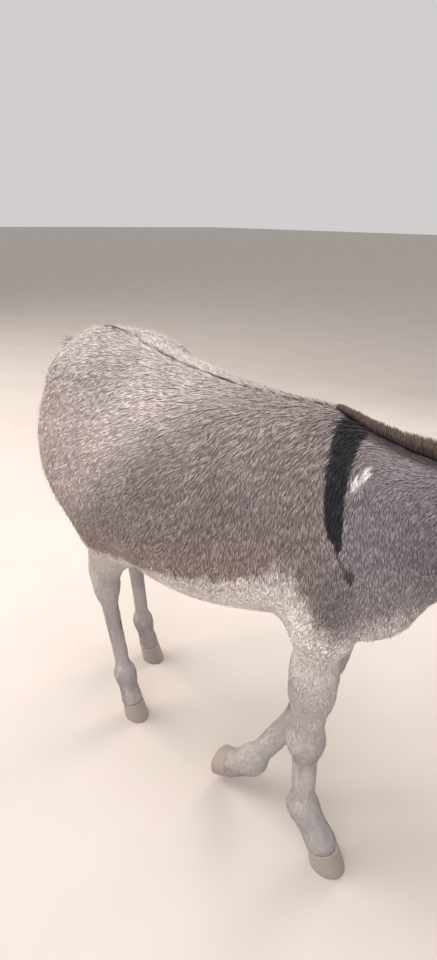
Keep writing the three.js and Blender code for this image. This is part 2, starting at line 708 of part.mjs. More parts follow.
function headFlesh() {
  const { solid, grown } = flesh(headShapes, [330, -140, 520], [900, 140, 1080], CELLS.head);
  const cuts = [headCut, flipped(earCut(SIDES.right)), flipped(earCut(SIDES.left))];
  return { solid: cuts.reduce(trimmed, solid), grown };
}

function legFlesh(name, cell, topCut) {
  const { foot, size } = feet[name];
  const [low, high] = LEG_BOXES[name];
  const { solid } = flesh([...torso, ...legShapes[name]], low, high, cell);
  return [flipped(topCut), crownPlane(foot, size)].reduce(trimmed, solid);
}

const animal = new THREE.Group();
const place = (name, solid, color, roughness = 0.9) => animal.add(meshOf(solid, name, color, roughness));

const trunk = trunkFlesh();
const neck = neckFlesh();
const skull = headFlesh();
const eyeAt = (side) => onHead(EYE_PLACE, side);
const skullWithSockets = Object.values(SIDES)
  .reduce((solid, side) => solid.subtract(sphere(eyeAt(side), EYE_RADIUS + SEAM)), skull.solid);

place('trunk', trunk.solid, COAT.grey);
place('neck', neck.solid, COAT.grey);
place('head', skullWithSockets, COAT.grey);

const hair = (solid, neighbours) => neighbours
  .reduce((left, { grown }) => left.subtract(grown), solid).simplify(SEAM);
place('mane', hair(mane(), [trunk, neck, skull]), COAT.dark);
const dock = flesh(tailDock(), [-890, -60, 560], [-730, 100, 1030], CELLS.tail);
const dockEnd = { normal: UP, offset: TAIL_CURVE[TAIL_CURVE.length - 1][2] };
place('tail', hair(trimmed(dock.solid, dockEnd), [trunk]), COAT.grey);
place('tail_tuft', trimmed(tailTuft(), flipped(dockEnd)), COAT.dark);

for (const [name, side] of Object.entries(SIDES)) {
  place(`eye_${name}`, sphere(eyeAt(side), EYE_RADIUS), EYE, 0.1);
  place(`ear_${name}`, ear(side), COAT.ear);
}

place('foreleg_right', legFlesh('foreleg_right', CELLS.foreleg, foreCut), COAT.cream);
place('foreleg_left', legFlesh('foreleg_left', CELLS.lifted, foreCut), COAT.cream);
place('hindleg_right', legFlesh('hindleg_right', CELLS.hindleg, hindCut), COAT.cream);
place('hindleg_left', legFlesh('hindleg_left', CELLS.hindleg, hindCut), COAT.cream);
for (const [name, { foot, size }] of Object.entries(feet)) {
  place(`hoof_${name.replace('leg', '')}`, hoof(foot, size), HORN, 0.55);
}

const box = new THREE.Box3().setFromObject(animal);
const middle = box.getCenter(new THREE.Vector3());
animal.position.set(-middle.x, -middle.y, -box.min.z);

export default animal;
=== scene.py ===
"""A small grey donkey in mid stride, life size: skin, coat, mane, tail hair, eyes and hooves.

Lengths are in metres. The animal is modelled with the ground under its withers at zero, X forward to
the head, Y to its left and Z up, and `place_on_frame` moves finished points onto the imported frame.
"""

from __future__ import annotations

import logging
import math
from collections.abc import Callable, Iterable, Sequence
from dataclasses import dataclass, field
from enum import Enum
from functools import partial, reduce
from typing import Protocol

import bpy
import numpy as np
from mathutils import Matrix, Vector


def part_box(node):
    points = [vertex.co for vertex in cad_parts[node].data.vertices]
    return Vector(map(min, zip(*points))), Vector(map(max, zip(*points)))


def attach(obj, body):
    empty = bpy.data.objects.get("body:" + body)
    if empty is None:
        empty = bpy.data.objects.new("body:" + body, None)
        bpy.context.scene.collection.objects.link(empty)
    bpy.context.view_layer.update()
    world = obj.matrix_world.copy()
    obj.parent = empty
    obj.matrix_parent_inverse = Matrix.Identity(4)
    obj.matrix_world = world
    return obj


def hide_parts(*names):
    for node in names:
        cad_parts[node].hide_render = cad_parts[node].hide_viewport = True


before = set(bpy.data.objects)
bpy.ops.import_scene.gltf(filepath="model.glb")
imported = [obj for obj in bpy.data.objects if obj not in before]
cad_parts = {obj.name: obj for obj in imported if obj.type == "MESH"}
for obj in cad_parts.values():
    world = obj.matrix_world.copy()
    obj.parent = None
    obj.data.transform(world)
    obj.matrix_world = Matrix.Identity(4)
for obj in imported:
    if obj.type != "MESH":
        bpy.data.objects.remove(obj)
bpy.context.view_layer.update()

LOG = logging.getLogger("donkey")
Array = np.ndarray
Vec = tuple[float, float, float]
Material = bpy.types.Material
Piece = bpy.types.Object
Lookup = Callable[[Array], Array]      # gives something for each of many places
AddNode = Callable[..., bpy.types.NodeSocket]


class Side(Enum):
    """The two sides of the animal, as the sign of Y."""

    RIGHT = -1
    LEFT = 1


# ---- Sizes of the body -------------------------------------------------------------------------
# Trunk and neck: x, height of the top line, height of the underline, half width, and how pointed
# the upper half of the section is (1.5 a ridge, 2 an ellipse).
TRUNK_STATIONS = (
    (-0.798, 0.9, 0.8, 0.03, 2.0),
    (-0.78, 0.955, 0.715, 0.072, 2.0),
    (-0.73, 1.012, 0.635, 0.116, 2.0),
    (-0.655, 1.046, 0.577, 0.152, 2.1),
    (-0.57, 1.046, 0.54, 0.18, 2.15),
    (-0.46, 1.022, 0.522, 0.204, 2.1),
    (-0.34, 1.004, 0.515, 0.222, 2.0),
    (-0.22, 0.996, 0.526, 0.222, 1.9),
    (-0.1, 0.994, 0.556, 0.198, 1.75),
    (0.0, 0.994, 0.59, 0.16, 1.55),
    (0.08, 0.975, 0.622, 0.13, 1.5),
    (0.15, 0.964, 0.688, 0.103, 1.55),
    (0.215, 0.96, 0.737, 0.086, 1.6),
    (0.3, 0.962, 0.764, 0.073, 1.7),
    (0.4, 0.972, 0.782, 0.062, 1.8),
    (0.49, 0.985, 0.8, 0.054, 1.9),
    (0.545, 0.96, 0.84, 0.03, 2.0),
)
TRUNK_MIDLINE, TRUNK_KEEL = 0.46, 2.1

# Head: distance from the poll, forehead line, jaw line, half width, fullness of the brow side.
HEAD_STATIONS = (
    (-0.03, -0.03, -0.1, 0.04, 2.0),
    (0.0, 0.0, -0.15, 0.06, 2.0),
    (0.055, 0.015, -0.184, 0.077, 2.2),
    (0.115, 0.018, -0.194, 0.084, 2.5),
    (0.165, 0.012, -0.186, 0.082, 2.6),
    (0.215, 0.002, -0.168, 0.069, 2.5),
    (0.27, -0.007, -0.148, 0.057, 2.4),
    (0.33, -0.014, -0.132, 0.051, 2.3),
    (0.39, -0.018, -0.128, 0.052, 2.4),
    (0.436, -0.029, -0.126, 0.048, 2.3),
    (0.459, -0.046, -0.118, 0.036, 2.1),
    (0.472, -0.066, -0.104, 0.016, 2.0),
)
HEAD_MIDLINE, HEAD_KEEL = 0.58, 2.1
POLL = np.array([0.52, 0.0, 0.985])
HEAD_DROOP = math.radians(52.0)
HEAD_ALONG = np.array([math.cos(HEAD_DROOP), 0.0, -math.sin(HEAD_DROOP)])
HEAD_UP = np.array([math.sin(HEAD_DROOP), 0.0, math.cos(HEAD_DROOP)])
HEAD_SIDE = np.array([0.0, 1.0, 0.0])

EYE_PLACE = (0.163, -0.036, 0.07)    # from the poll: along, up, out
EYE_RADIUS = 0.0188
EAR_ROOT = (0.014, 0.006, 0.044)
EAR_DIRECTION = (-0.16, 0.31, 0.94)
EAR_OPENING = (0.88, 0.47, -0.05)
EAR_LENGTH = 0.25
EAR_SINK = 0.026

# Joints of each leg, from the shoulder or stifle down.
LEG_JOINTS = {
    "fore_right": ((0.056, -0.078, 0.605), (0.033, -0.045, 0.31), (0.04, -0.04, 0.114),
                   (0.094, -0.039, 0.048)),
    "fore_left": ((0.018, 0.064, 0.602), (-0.028, 0.05, 0.282), (-0.109, -0.037, 0.119), None),
    "hind_right": ((-0.5, -0.11, 0.6), (-0.597, -0.08, 0.385), (-0.542, -0.077, 0.122),
                   (-0.516, -0.077, 0.046)),
    "hind_left": ((-0.53, 0.11, 0.6), (-0.72, 0.103, 0.385), (-0.687, 0.102, 0.122),
                  (-0.661, 0.102, 0.046)),
}
HOOF_CENTRES = {
    "fore_right": (0.114, -0.039, 0.0),
    "hind_right": (-0.499, -0.077, 0.0),
    "hind_left": (-0.644, 0.102, 0.0),
}
LIFTED_PASTERN = 0.066
LIFTED_DIRECTION = (-0.72, -0.08, -0.68)
PASTERN_ANGLE = math.radians(50.0)
CROWN_BEVEL = math.radians(14.0)

TAIL_CURVE = ((-0.785, 0.0, 0.972), (-0.832, 0.004, 0.94), (-0.862, 0.012, 0.855),
              (-0.866, 0.022, 0.74), (-0.86, 0.03, 0.62))
TAIL_RADII = (0.027, 0.024, 0.019, 0.016, 0.015)
TUFT_BOTTOM = np.array([-0.85, 0.036, 0.402])

COAT_ON_BODY = 0.009      # depth of the coat over the trunk and neck
COAT_ON_LEGS = 0.003
COAT_ON_FACE = 0.0025


# ---- Small helpers -----------------------------------------------------------------------------
def unit(v: Array | Sequence[float]) -> Array:
    """The vectors of v at length one."""
    v = np.asarray(v, float)
    return v / np.maximum(np.linalg.norm(v, axis=-1, keepdims=True), 1e-12)


def across(v: Array, normal: Array) -> Array:
    """The part of v that lies across the unit normal, at length one."""
    return unit(v - (v * normal).sum(-1, keepdims=True) * normal)


def ramp(low: float, high: float, x: Array) -> Array:
    """0 below low, 1 above high, and 3t^2 - 2t^3 between them."""
    t = np.clip((x - low) / (high - low), 0.0, 1.0)
    return t * t * (3.0 - 2.0 * t)


def mix(a: Array, b: Array, t: Array) -> Array:
    """Moves from a to b as t goes from 0 to 1."""
    return a + (b - a) * t


def sided(v: Sequence[float], side: Side) -> Array:
    """A place or direction of the left side, carried to `side`."""
    return np.array([v[0], v[1] * side.value, v[2]], float)


def on_head(place: Sequence[float], side: Side = Side.LEFT) -> Array:
    """The body's coordinates of a place given from the poll as along, up and out."""
    along, up, out = place
    return POLL + HEAD_ALONG * along + HEAD_UP * up + HEAD_SIDE * out * side.value


def head_direction(direction: Sequence[float], side: Side = Side.LEFT) -> Array:
    """The body's components of a direction given as along, up and out."""
    along, up, out = direction
    return unit(HEAD_ALONG * along + HEAD_UP * up + HEAD_SIDE * out * side.value)


def head_coordinates(points: Array) -> tuple[Array, Array, Array]:
    """Along, up and out of points given in the body's coordinates."""
    q = points - POLL
    return q @ HEAD_ALONG, q @ HEAD_UP, q @ HEAD_SIDE


def linear(code: str) -> Array:
    """Linear RGB of an sRGB hex colour: c / 12.92 when dark, else ((c + 0.055) / 1.055) ^ 2.4."""
    c = np.array([int(code[i:i + 2], 16) for i in (1, 3, 5)]) / 255.0
    return np.where(c <= 0.04045, c / 12.92, ((c + 0.055) / 1.055) ** 2.4)


@dataclass(frozen=True)
class Ripple:
    """A soft random pattern: a sum of sine waves in seeded directions, from about -1 to 1."""

    seed: int
    wavelength: float
    waves: int = 14

    def __call__(self, points: Array) -> Array:
        """Value at each point: the mean of sin(k . p + phase) over the waves, scaled up."""
        rng = np.random.default_rng(self.seed)
        directions = unit(rng.normal(size=(self.waves, 3)))
        numbers = math.tau / (self.wavelength * rng.uniform(0.7, 1.5, self.waves))
        phases = rng.uniform(0.0, math.tau, self.waves)
        total = np.zeros(len(points))
        for direction, number, phase in zip(directions, numbers, phases):
            total += np.sin(points @ direction * number + phase)
        return total / math.sqrt(self.waves) * 1.1


# ---- The body as a blended distance field ------------------------------------------------------
def span(points: Sequence[Array], reach: float) -> tuple[Array, Array]:
    """The lowest and highest corner round some points, widened by a reach."""
    points = np.array(points, float)
    return points.min(0) - reach, points.max(0) + reach


class Shape(Protocol):
    """A solid that knows its distance to points, negative inside."""

    blend: float

    def box(self) -> tuple[Array, Array]:
        """Lowest and highest corner of where the shape matters."""

    def distance(self, points: Array) -> Array:
        """Distance of each point from the surface."""


@dataclass(frozen=True)
class Rod:
    """A tapered round-ended rod. `flat` is its thickness across the body over its depth."""

    start: Vec
    end: Vec
    radii: tuple[float, float]
    blend: float
    flat: float = 1.0

    def box(self) -> tuple[Array, Array]:
        """Both ends, widened by the radius and the blend."""
        return span([self.start, self.end], max(self.radii) + self.blend)

    def distance(self, points: Array) -> Array:
        """Distance from the axis, with the side stretched by 1 / flat, less the local radius."""
        start, end = np.array(self.start, float), np.array(self.end, float)
        length = np.linalg.norm(end - start)
        axis = (end - start) / length
        side = across(np.array([0.0, 1.0, 0.0]), axis)
        face = np.cross(side, axis)
        q = points - start
        along = q @ axis
        t = np.clip(along / length, 0.0, 1.0)
        past = along - t * length
        radius = mix(self.radii[0], self.radii[1], t)
        reach = np.sqrt((q @ face) ** 2 + (q @ side / self.flat) ** 2 + past ** 2)
        return (reach - radius) * min(1.0, self.flat)


@dataclass(frozen=True)
class Ball:
    """An ellipsoid with its radii along three unit axes."""

    centre: Vec
    radii: Vec
    blend: float
    axes: tuple = ((1, 0, 0), (0, 1, 0), (0, 0, 1))

    def box(self) -> tuple[Array, Array]:
        """The centre, widened by the largest radius and the blend."""
        return span([self.centre], max(self.radii) + self.blend)

    def distance(self, points: Array) -> Array:
        """k0 (k0 - 1) / k1, where k0 and k1 are the lengths of q / r and q / r^2."""
        local = (points - np.array(self.centre, float)) @ np.array(self.axes, float).T
        radii = np.array(self.radii, float)
        near = np.linalg.norm(local / radii, axis=1)
        slope = np.linalg.norm(local / radii ** 2, axis=1)
        return np.where(slope > 1e-6, near * (near - 1.0) / np.maximum(slope, 1e-6), -radii.min())


SECTION_MARGIN = 0.02


@dataclass(frozen=True)
class Sections:
    """Superellipse sections of a table, carried along an axis and joined smoothly."""

    table: tuple
    midline: float
    keel: float
    blend: float
    origin: Vec = (0.0, 0.0, 0.0)
    along: Vec = (1.0, 0.0, 0.0)
    up: Vec = (0.0, 0.0, 1.0)

    def box(self) -> tuple[Array, Array]:
        """Every section's corners, widened by the blend and a margin."""
        rows = np.array(self.table, float)
        along, up = np.array(self.along), np.array(self.up)
        side = np.cross(up, along)
        corners = [
            np.array(self.origin) + along * s + up * z + side * y
            for s, top, bottom, half, _ in rows for z in (top, bottom) for y in (-half, half)
        ]
        return span(corners, self.blend + SECTION_MARGIN)

    def curves(self, s: Array) -> list[Array]:
        """The table's columns at s, through cubic Hermite pieces sampled finely."""
        rows = np.array(self.table, float)
        fine = np.linspace(rows[0, 0], rows[-1, 0], 900)
        return [np.interp(s, fine, hermite(rows[:, 0], rows[:, k], fine)) for k in (1, 2, 3, 4)]

    def distance(self, points: Array) -> Array:
        """(ratio - 1) times the section's local radius, where ratio^n = |z / r|^n + |y / h|^n."""
        along, up = np.array(self.along), np.array(self.up)
        side = np.cross(up, along)
        q = points - np.array(self.origin)
        length = q @ along
        s = np.clip(length, self.table[0][0], self.table[-1][0])
        past = length - s
        top, bottom, half, crown = self.curves(s)
        middle = bottom + (top - bottom) * self.midline
        height = q @ up - middle
        width = q @ side
        reach = np.where(height > 0, top - middle, middle - bottom)
        power = np.where(height > 0, crown, self.keel)
        ratio = (np.abs(height / reach) ** power + np.abs(width / half) ** power) ** (1.0 / power)
        inward = np.where(
            ratio > 1e-6,
            (ratio - 1.0) * np.hypot(height, width) / np.maximum(ratio, 1e-6),
            -np.minimum(reach, half),
        )
        return np.where(past == 0, inward, np.hypot(np.maximum(inward, 0.0), past))


@dataclass(frozen=True)
class Cylinder:
    """A cylinder that starts at a plane and runs along its normal, used to cut flesh flat."""

    start: Vec
    axis: Vec
    radius: float
    length: float
    blend: float

    def box(self) -> tuple[Array, Array]:
        """Both ends, widened by the radius and the blend."""
        end = self.start + unit(self.axis) * self.length
        return span([self.start, end], self.radius + self.blend)

    def distance(self, points: Array) -> Array:
        """The largest of the distances to the two ends and to the wall."""
        q = points - np.array(self.start, float)
        axis = unit(self.axis)
        along = q @ axis
        wall = np.linalg.norm(q - along[:, None] * axis, axis=1) - self.radius
        return np.maximum(np.maximum(-along, along - self.length), wall)


def hermite(xs: Array, ys: Array, x: Array) -> Array:
    """A smooth curve through (xs, ys): cubic pieces whose slopes weigh both neighbours.

    Args:
        xs: rising places of the knots.
        ys: the curve's values there.
        x: places to read it at.

    Returns:
        Its value at each x.
    """
    step = np.diff(xs)
    slope = np.diff(ys) / step
    tangent = np.concatenate([
        slope[:1],
        (slope[:-1] * step[1:] + slope[1:] * step[:-1]) / (step[:-1] + step[1:]),
        slope[-1:],
    ])
    i = np.clip(np.searchsorted(xs, x) - 1, 0, len(xs) - 2)
    h = step[i]
    t = (x - xs[i]) / h
    return ((2 * t ** 3 - 3 * t ** 2 + 1) * ys[i] + (t ** 3 - 2 * t ** 2 + t) * h * tangent[i]
            + (3 * t ** 2 - 2 * t ** 3) * ys[i + 1] + (t ** 3 - t ** 2) * h * tangent[i + 1])


SKIN_BAND = 0.05      # farther from the surface than this, the coat's depth does not matter
LONGEST_STEP = 0.006      # of a point on its way to the skin


@dataclass
class Body:
    """Shapes melted together with a polynomial smooth minimum, then cut by others."""

    shapes: list[Shape]
    cuts: list[Shape]
    far: float = 1.0

    def combine(self, total: Array, shape: Shape, own: Array, cutting: bool) -> Array:
        """min(a, b) - blend h^2 / 4 with h = 1 - |a - b| / blend, or its mirror for a cut.

        Args:
            total: distances so far.
            shape: the next shape.
            own: its distances.
            cutting: whether it is taken away.

        Returns:
            The new distances.
        """
        if cutting:
            h = np.maximum(shape.blend - np.abs(total + own), 0.0) / shape.blend
            return np.maximum(total, -own) + h * h * shape.blend / 4.0
        h = np.maximum(shape.blend - np.abs(total - own), 0.0) / shape.blend
        return np.minimum(total, own) - h * h * shape.blend / 4.0

    def steps(self) -> Iterable[tuple[Shape, bool]]:
        """Every shape with whether it cuts."""
        yield from ((shape, False) for shape in self.shapes)
        yield from ((shape, True) for shape in self.cuts)

    def distance(self, points: Array) -> Array:
        """Distance of each point from the coat's outer surface."""
        total = np.full(len(points), self.far)
        for shape, cutting in self.steps():
            low, high = shape.box()
            near = np.all((points > low) & (points < high), axis=1)
            if near.any():
                own = shape.distance(points[near])
                total[near] = self.combine(total[near], shape, own, cutting)
        return total

    def on_grid(self, axes: Sequence[Array]) -> Array:
        """Distance to the skin on a box grid, one shape's own block at a time.

        Args:
            axes: the grid's planes along x, y and z.

        Returns:
            One value for each grid point.
        """
        total = np.full([len(a) for a in axes], self.far)
        for shape, cutting in self.steps():
            low, high = shape.box()
            block = tuple(
                slice(np.searchsorted(a, low[i]), np.searchsorted(a, high[i]))
                for i, a in enumerate(axes)
            )
            if total[block].size:
                mesh = np.meshgrid(*[a[b] for a, b in zip(axes, block)], indexing="ij")
                own = shape.distance(np.stack(mesh, -1).reshape(-1, 3)).reshape(mesh[0].shape)
                total[block] = self.combine(total[block], shape, own, cutting)
        near = np.abs(total) < SKIN_BAND
        points = np.stack([axes[i][n] for i, n in enumerate(np.nonzero(near))], -1)
        total[near] += coat_depth(points) + mouth_groove(points)
        return total

    def skin(self, points: Array) -> Array:
        """Distance of each point from the skin, which lies under the coat."""
        return self.distance(points) + coat_depth(points) + mouth_groove(points)

    def normals(self, points: Array, step: float = 0.0015) -> Array:
        """Outward unit normals from four differences at a tetrahedron's corners.

        Args:
            points: places on the skin.
            step: how far off the differences are taken.

        Returns:
            The normals.
        """
        corners = np.array([(1, -1, -1), (-1, -1, 1), (-1, 1, -1), (1, 1, 1)], float)
        total = np.zeros_like(points)
        for corner in corners:
            total += corner * self.skin(points + corner * step)[:, None]
        return unit(total)

    def settle(self, points: Array, passes: int = 3) -> Array:
        """Moves points onto the skin along its normals.

        Args:
            points: places near the skin.
            passes: Newton steps.

        Returns:
            The points on the skin.
        """
        for _ in range(passes):
            shift = np.clip(self.skin(points), -LONGEST_STEP, LONGEST_STEP)
            points = points - self.normals(points) * shift[:, None]
        return points


def coat_depth(points: Array) -> Array:
    """How deep the coat is: full on the trunk and neck, thin on the legs and face."""
    along = head_coordinates(points)[0]
    face = ramp(-0.09, 0.08, along) * ramp(0.3, 0.45, points[:, 0])
    depth = mix(COAT_ON_LEGS, COAT_ON_BODY, ramp(0.42, 0.6, points[:, 2]))
    return mix(depth, COAT_ON_FACE, face)


MOUTH_CORNER, MOUTH_FRONT = 0.378, 0.47     # distance from the poll
MOUTH_HEIGHTS = (-0.099, -0.091)             # below the forehead line at both ends
MOUTH_DEPTH, MOUTH_WIDTH = 0.0036, 0.0042


def mouth_groove(points: Array) -> Array:
    """The groove between the lips: a bell curve across a line from the corner to the front."""
    along, up, _ = head_coordinates(points)
    share = np.clip((along - MOUTH_CORNER) / (MOUTH_FRONT - MOUTH_CORNER), 0.0, 1.0)
    line = mix(MOUTH_HEIGHTS[0], MOUTH_HEIGHTS[1], share)
    strength = ramp(MOUTH_CORNER - 0.006, MOUTH_CORNER + 0.012, along)
    return MOUTH_DEPTH * strength * np.exp(-((up - line) / MOUTH_WIDTH) ** 2)


# ---- Muscles, bones and joints -----------------------------------------------------------------
TRUNK = Sections(TRUNK_STATIONS, TRUNK_MIDLINE, TRUNK_KEEL, 0.02)


def trunk_shapes() -> list[Shape]:
    """The lofted trunk and neck, then the muscles of shoulder and haunch on both sides."""
    shapes: list[Shape] = [TRUNK]
    for side in Side:
        shapes += [
            Rod(sided((-0.02, 0.055, 0.87), side), sided((0.139, 0.083, 0.742), side),
                (0.055, 0.069), 0.08, 0.5),
            Rod(sided((0.129, 0.079, 0.748), side), sided((0.066, 0.082, 0.672), side),
                (0.06, 0.058), 0.06, 0.6),
        ]
    for side in Side:
        shapes += [
            Ball(sided((-0.6, 0.088, 0.79), side), (0.15, 0.092, 0.19), 0.08),
            Rod(sided((-0.59, 0.098, 0.74), side), sided((-0.53, 0.108, 0.62), side),
                (0.115, 0.085), 0.08, 0.68),
            Ball(sided((-0.58, 0.102, 0.955), side), (0.075, 0.05, 0.04), 0.08),
            Ball(sided((-0.745, 0.058, 0.87), side), (0.045, 0.038, 0.05), 0.06),
        ]
    return shapes


def head_shapes() -> list[Shape]:
    """The lofted head with cheeks, brows, face crests, nostril folds, chin and ear pedicles."""
    axes = (HEAD_ALONG, HEAD_SIDE, HEAD_UP)
    shapes: list[Shape] = [
        Sections(HEAD_STATIONS, HEAD_MIDLINE, HEAD_KEEL, 0.04, POLL, HEAD_ALONG, HEAD_UP)
    ]
    for side in Side:
        shapes += [
            Ball(on_head((0.095, -0.108, 0.052), side), (0.076, 0.03, 0.07), 0.03, axes),
            Ball(on_head((0.16, -0.022, 0.064), side), (0.042, 0.017, 0.018), 0.03, axes),
            Rod(on_head((0.19, -0.068, 0.066), side), on_head((0.3, -0.084, 0.046), side),
                (0.012, 0.008), 0.03),
            Ball(on_head((0.424, -0.046, 0.034), side), (0.027, 0.016, 0.022), 0.02, axes),
        ]
    shapes.append(Ball(on_head((0.44, -0.103, 0.0)), (0.025, 0.032, 0.02), 0.02, axes))
    shapes.append(Ball(on_head((0.45, -0.074, 0.0)), (0.022, 0.034, 0.024), 0.02, axes))
    for side in Side:
        ear = EarFrame.of(side)
        shapes.append(Rod(ear.root - ear.along * 0.01, ear.root + ear.along * (EAR_SINK + 0.006),
                          (0.03, 0.027), 0.024))
    return shapes


def foreleg_shapes(joints: Sequence[Array]) -> list[Shape]:
    """Forearm, knee, cannon, fetlock and pastern of a foreleg.

    Args:
        joints: elbow, knee, fetlock and coronet.

    Returns:
        The shapes.
    """
    elbow, carpus, fetlock, coronet = (np.array(p, float) for p in joints)
    return [
        Rod(elbow, mix(elbow, carpus, 0.5), (0.057, 0.043), 0.05, 0.8),
        Rod(mix(elbow, carpus, 0.3), carpus, (0.044, 0.033), 0.03, 0.95),
        Ball(carpus, (0.038, 0.036, 0.045), 0.025),
        Rod(carpus, fetlock, (0.031, 0.027), 0.02, 0.88),
        Ball(fetlock, (0.035, 0.031, 0.036), 0.02),
        Rod(fetlock, coronet, (0.029, 0.035), 0.02),
    ]


def hindleg_shapes(joints: Sequence[Array], side: Side) -> list[Shape]:
    """Gaskin, hamstring, hock with its point, cannon, fetlock and pastern of a hind leg.

    Args:
        joints: stifle, hock, fetlock and coronet.
        side: the leg's side.

    Returns:
        The shapes.
    """
    stifle, hock, fetlock, coronet = (np.array(p, float) for p in joints)
    point = hock + (-0.032, 0.0, 0.04)
    return [
        Rod(stifle, hock + (0.005, 0.0, 0.03), (0.08, 0.034), 0.05, 0.66),
        Rod(sided((-0.69, 0.08, 0.715), side), point, (0.062, 0.014), 0.06, 0.55),
        Ball(hock, (0.04, 0.031, 0.052), 0.025),
        Ball(point, (0.018, 0.017, 0.024), 0.025),
        Rod(hock - (0.0, 0.0, 0.02), fetlock, (0.028, 0.023), 0.02, 0.82),
        Ball(fetlock, (0.03, 0.027, 0.031), 0.02),
        Rod(fetlock, coronet, (0.024, 0.03), 0.02),
    ]


def tail_shapes() -> list[Shape]:
    """The dock as a chain of rods."""
    return [
        Rod(TAIL_CURVE[i], TAIL_CURVE[i + 1], (TAIL_RADII[i], TAIL_RADII[i + 1]), 0.012)
        for i in range(len(TAIL_CURVE) - 1)
    ]


@dataclass(frozen=True)
class EarFrame:
    """Where an ear stands: its root, the way to its tip, and the way that its hollow faces."""

    root: Array
    along: Array
    opening: Array
    side: Array

    @classmethod
    def of(cls, side: Side) -> EarFrame:
        """The frame of one side's ear."""
        along = unit(sided(EAR_DIRECTION, side))
        opening = across(sided(EAR_OPENING, side), along)
        return cls(on_head(EAR_ROOT, side), along, opening, np.cross(along, opening))


@dataclass(frozen=True)
class FootFrame:
    """A hoof's place: the middle of its sole, the way of the toe, and the way up the hoof."""

    centre: Array
    toe: Array
    up: Array


@dataclass(frozen=True)
class HoofSize:
    """A hoof's reach from its centre at the ground, its height, and its radius at the crown."""

    toe: float
    heel: float
    half: float
    height: float
    heel_height: float
    crown: float

    def crown_plane(self, foot: FootFrame) -> tuple[Array, Array]:
        """A point on the sloping top of the hoof and its upward normal."""
        middle = foot.centre + foot.up * (self.height + self.heel_height) / 2.0
        normal = unit(foot.up * math.cos(CROWN_BEVEL) - foot.toe * math.sin(CROWN_BEVEL))
        return middle, normal


FORE_HOOF = HoofSize(0.043, 0.036, 0.036, 0.052, 0.034, 0.0315)
HIND_HOOF = HoofSize(0.039, 0.031, 0.031, 0.05, 0.033, 0.027)


def feet() -> dict[str, tuple[FootFrame, HoofSize]]:
    """Every hoof's frame and size. The lifted hoof hangs toe down with its sole to the rear."""
    forward, up = np.array([1.0, 0.0, 0.0]), np.array([0.0, 0.0, 1.0])
    found = {
        name: (FootFrame(np.array(centre), forward, up),
               FORE_HOOF if name.startswith("fore") else HIND_HOOF)
        for name, centre in HOOF_CENTRES.items()
    }
    pastern = unit(LIFTED_DIRECTION)
    dorsal = across(forward, pastern)
    toe = unit(pastern * math.cos(PASTERN_ANGLE) + dorsal * math.sin(PASTERN_ANGLE))
    lift = unit(dorsal * math.cos(PASTERN_ANGLE) - pastern * math.sin(PASTERN_ANGLE))
    centre = lifted_coronet() + lift * (0.006 - FORE_HOOF.height) + toe * 0.02
    found["fore_left"] = (FootFrame(centre, toe, lift), FORE_HOOF)
    return found


def lifted_coronet() -> Array:
    """Top of the lifted hoof, a pastern's length from its fetlock."""
    return np.array(LEG_JOINTS["fore_left"][2]) + unit(LIFTED_DIRECTION) * LIFTED_PASTERN


def leg_joints(name: str) -> list[Array]:
    """The four joints of a leg, with the lifted coronet worked out."""
    joints = LEG_JOINTS[name]
    return [np.array(lifted_coronet() if p is None else p, float) for p in joints]


def nostril_cut(side: Side) -> Ball:
    """The hollow of a nostril: a long slit that slants up and back."""
    slant = math.radians(58.0)
    long = head_direction((-math.cos(slant), math.sin(slant), -0.12), side)
    deep = across(head_direction((0.5, 0.05, 0.86), side), long)
    centre = on_head((0.441, -0.057, 0.043), side)
    return Ball(centre, (0.015, 0.006, 0.018), 0.006, (long, np.cross(long, deep), deep))


def make_body(sockets: bool = True) -> Body:
    """The whole animal, cut at the hooves, ear roots and nostrils, and at the eyes if asked.

    Args:
        sockets: whether the eyes' hollows are cut.

    Returns:
        The body.
    """
    shapes = trunk_shapes()
    shapes += foreleg_shapes(leg_joints("fore_right")) + foreleg_shapes(leg_joints("fore_left"))
    shapes += hindleg_shapes(leg_joints("hind_right"), Side.RIGHT)
    shapes += hindleg_shapes(leg_joints("hind_left"), Side.LEFT)
    shapes += head_shapes() + tail_shapes()
    cuts: list[Shape] = []
    for foot, size in feet().values():
        middle, normal = size.crown_plane(foot)
        cuts.append(Cylinder(middle - normal * 0.003, -normal, 0.055, 0.09, 0.002))
    for side in Side:
        ear = EarFrame.of(side)
        cuts.append(Cylinder(ear.root + ear.along * EAR_SINK, ear.along, 0.045, 0.08, 0.004))
        cuts.append(nostril_cut(side))
        if sockets:
            cuts.append(Ball(on_head(EYE_PLACE, side), (EYE_RADIUS + 0.0015,) * 3, 0.001))
    return Body(shapes, cuts)


# ---- Markings of skin and coat -----------------------------------------------------------------
@dataclass(frozen=True)
class CoatColours:
    """The colours of a grey-dun donkey's hair, as sRGB hex values."""

    barrel: str = "#8d807c"
    # croup: a paler grey laid along the top of the back, partly its own colour and partly painted light
    # from above
    croup: str = "#c4b7b2"
    # haunch: a paler grey over the rump, partly its own colour and partly painted rim light from behind
    haunch: str = "#d2c5be"
    shoulder: str = "#81797b"
    neck: str = "#716a6e"
    breast: str = "#9a8f8c"
    face: str = "#7c736f"
    border: str = "#a18c84"
    belly: str = "#e9e0d8"
    leg: str = "#c6beb9"
    stripe: str = "#19171b"
    dorsal: str = "#3d3431"
    mane: str = "#3b2e2a"
    mane_tip: str = "#735f52"
    muzzle: str = "#d5c8bc"
    lips: str = "#5d4f4b"
    ear_back: str = "#8b7d76"
    ear_rim: str = "#40362f"
    ear_inside: str = "#c6b8ab"
    fleck: str = "#f0ebe7"
    spot: str = "#4a3b3a"


COAT = CoatColours()

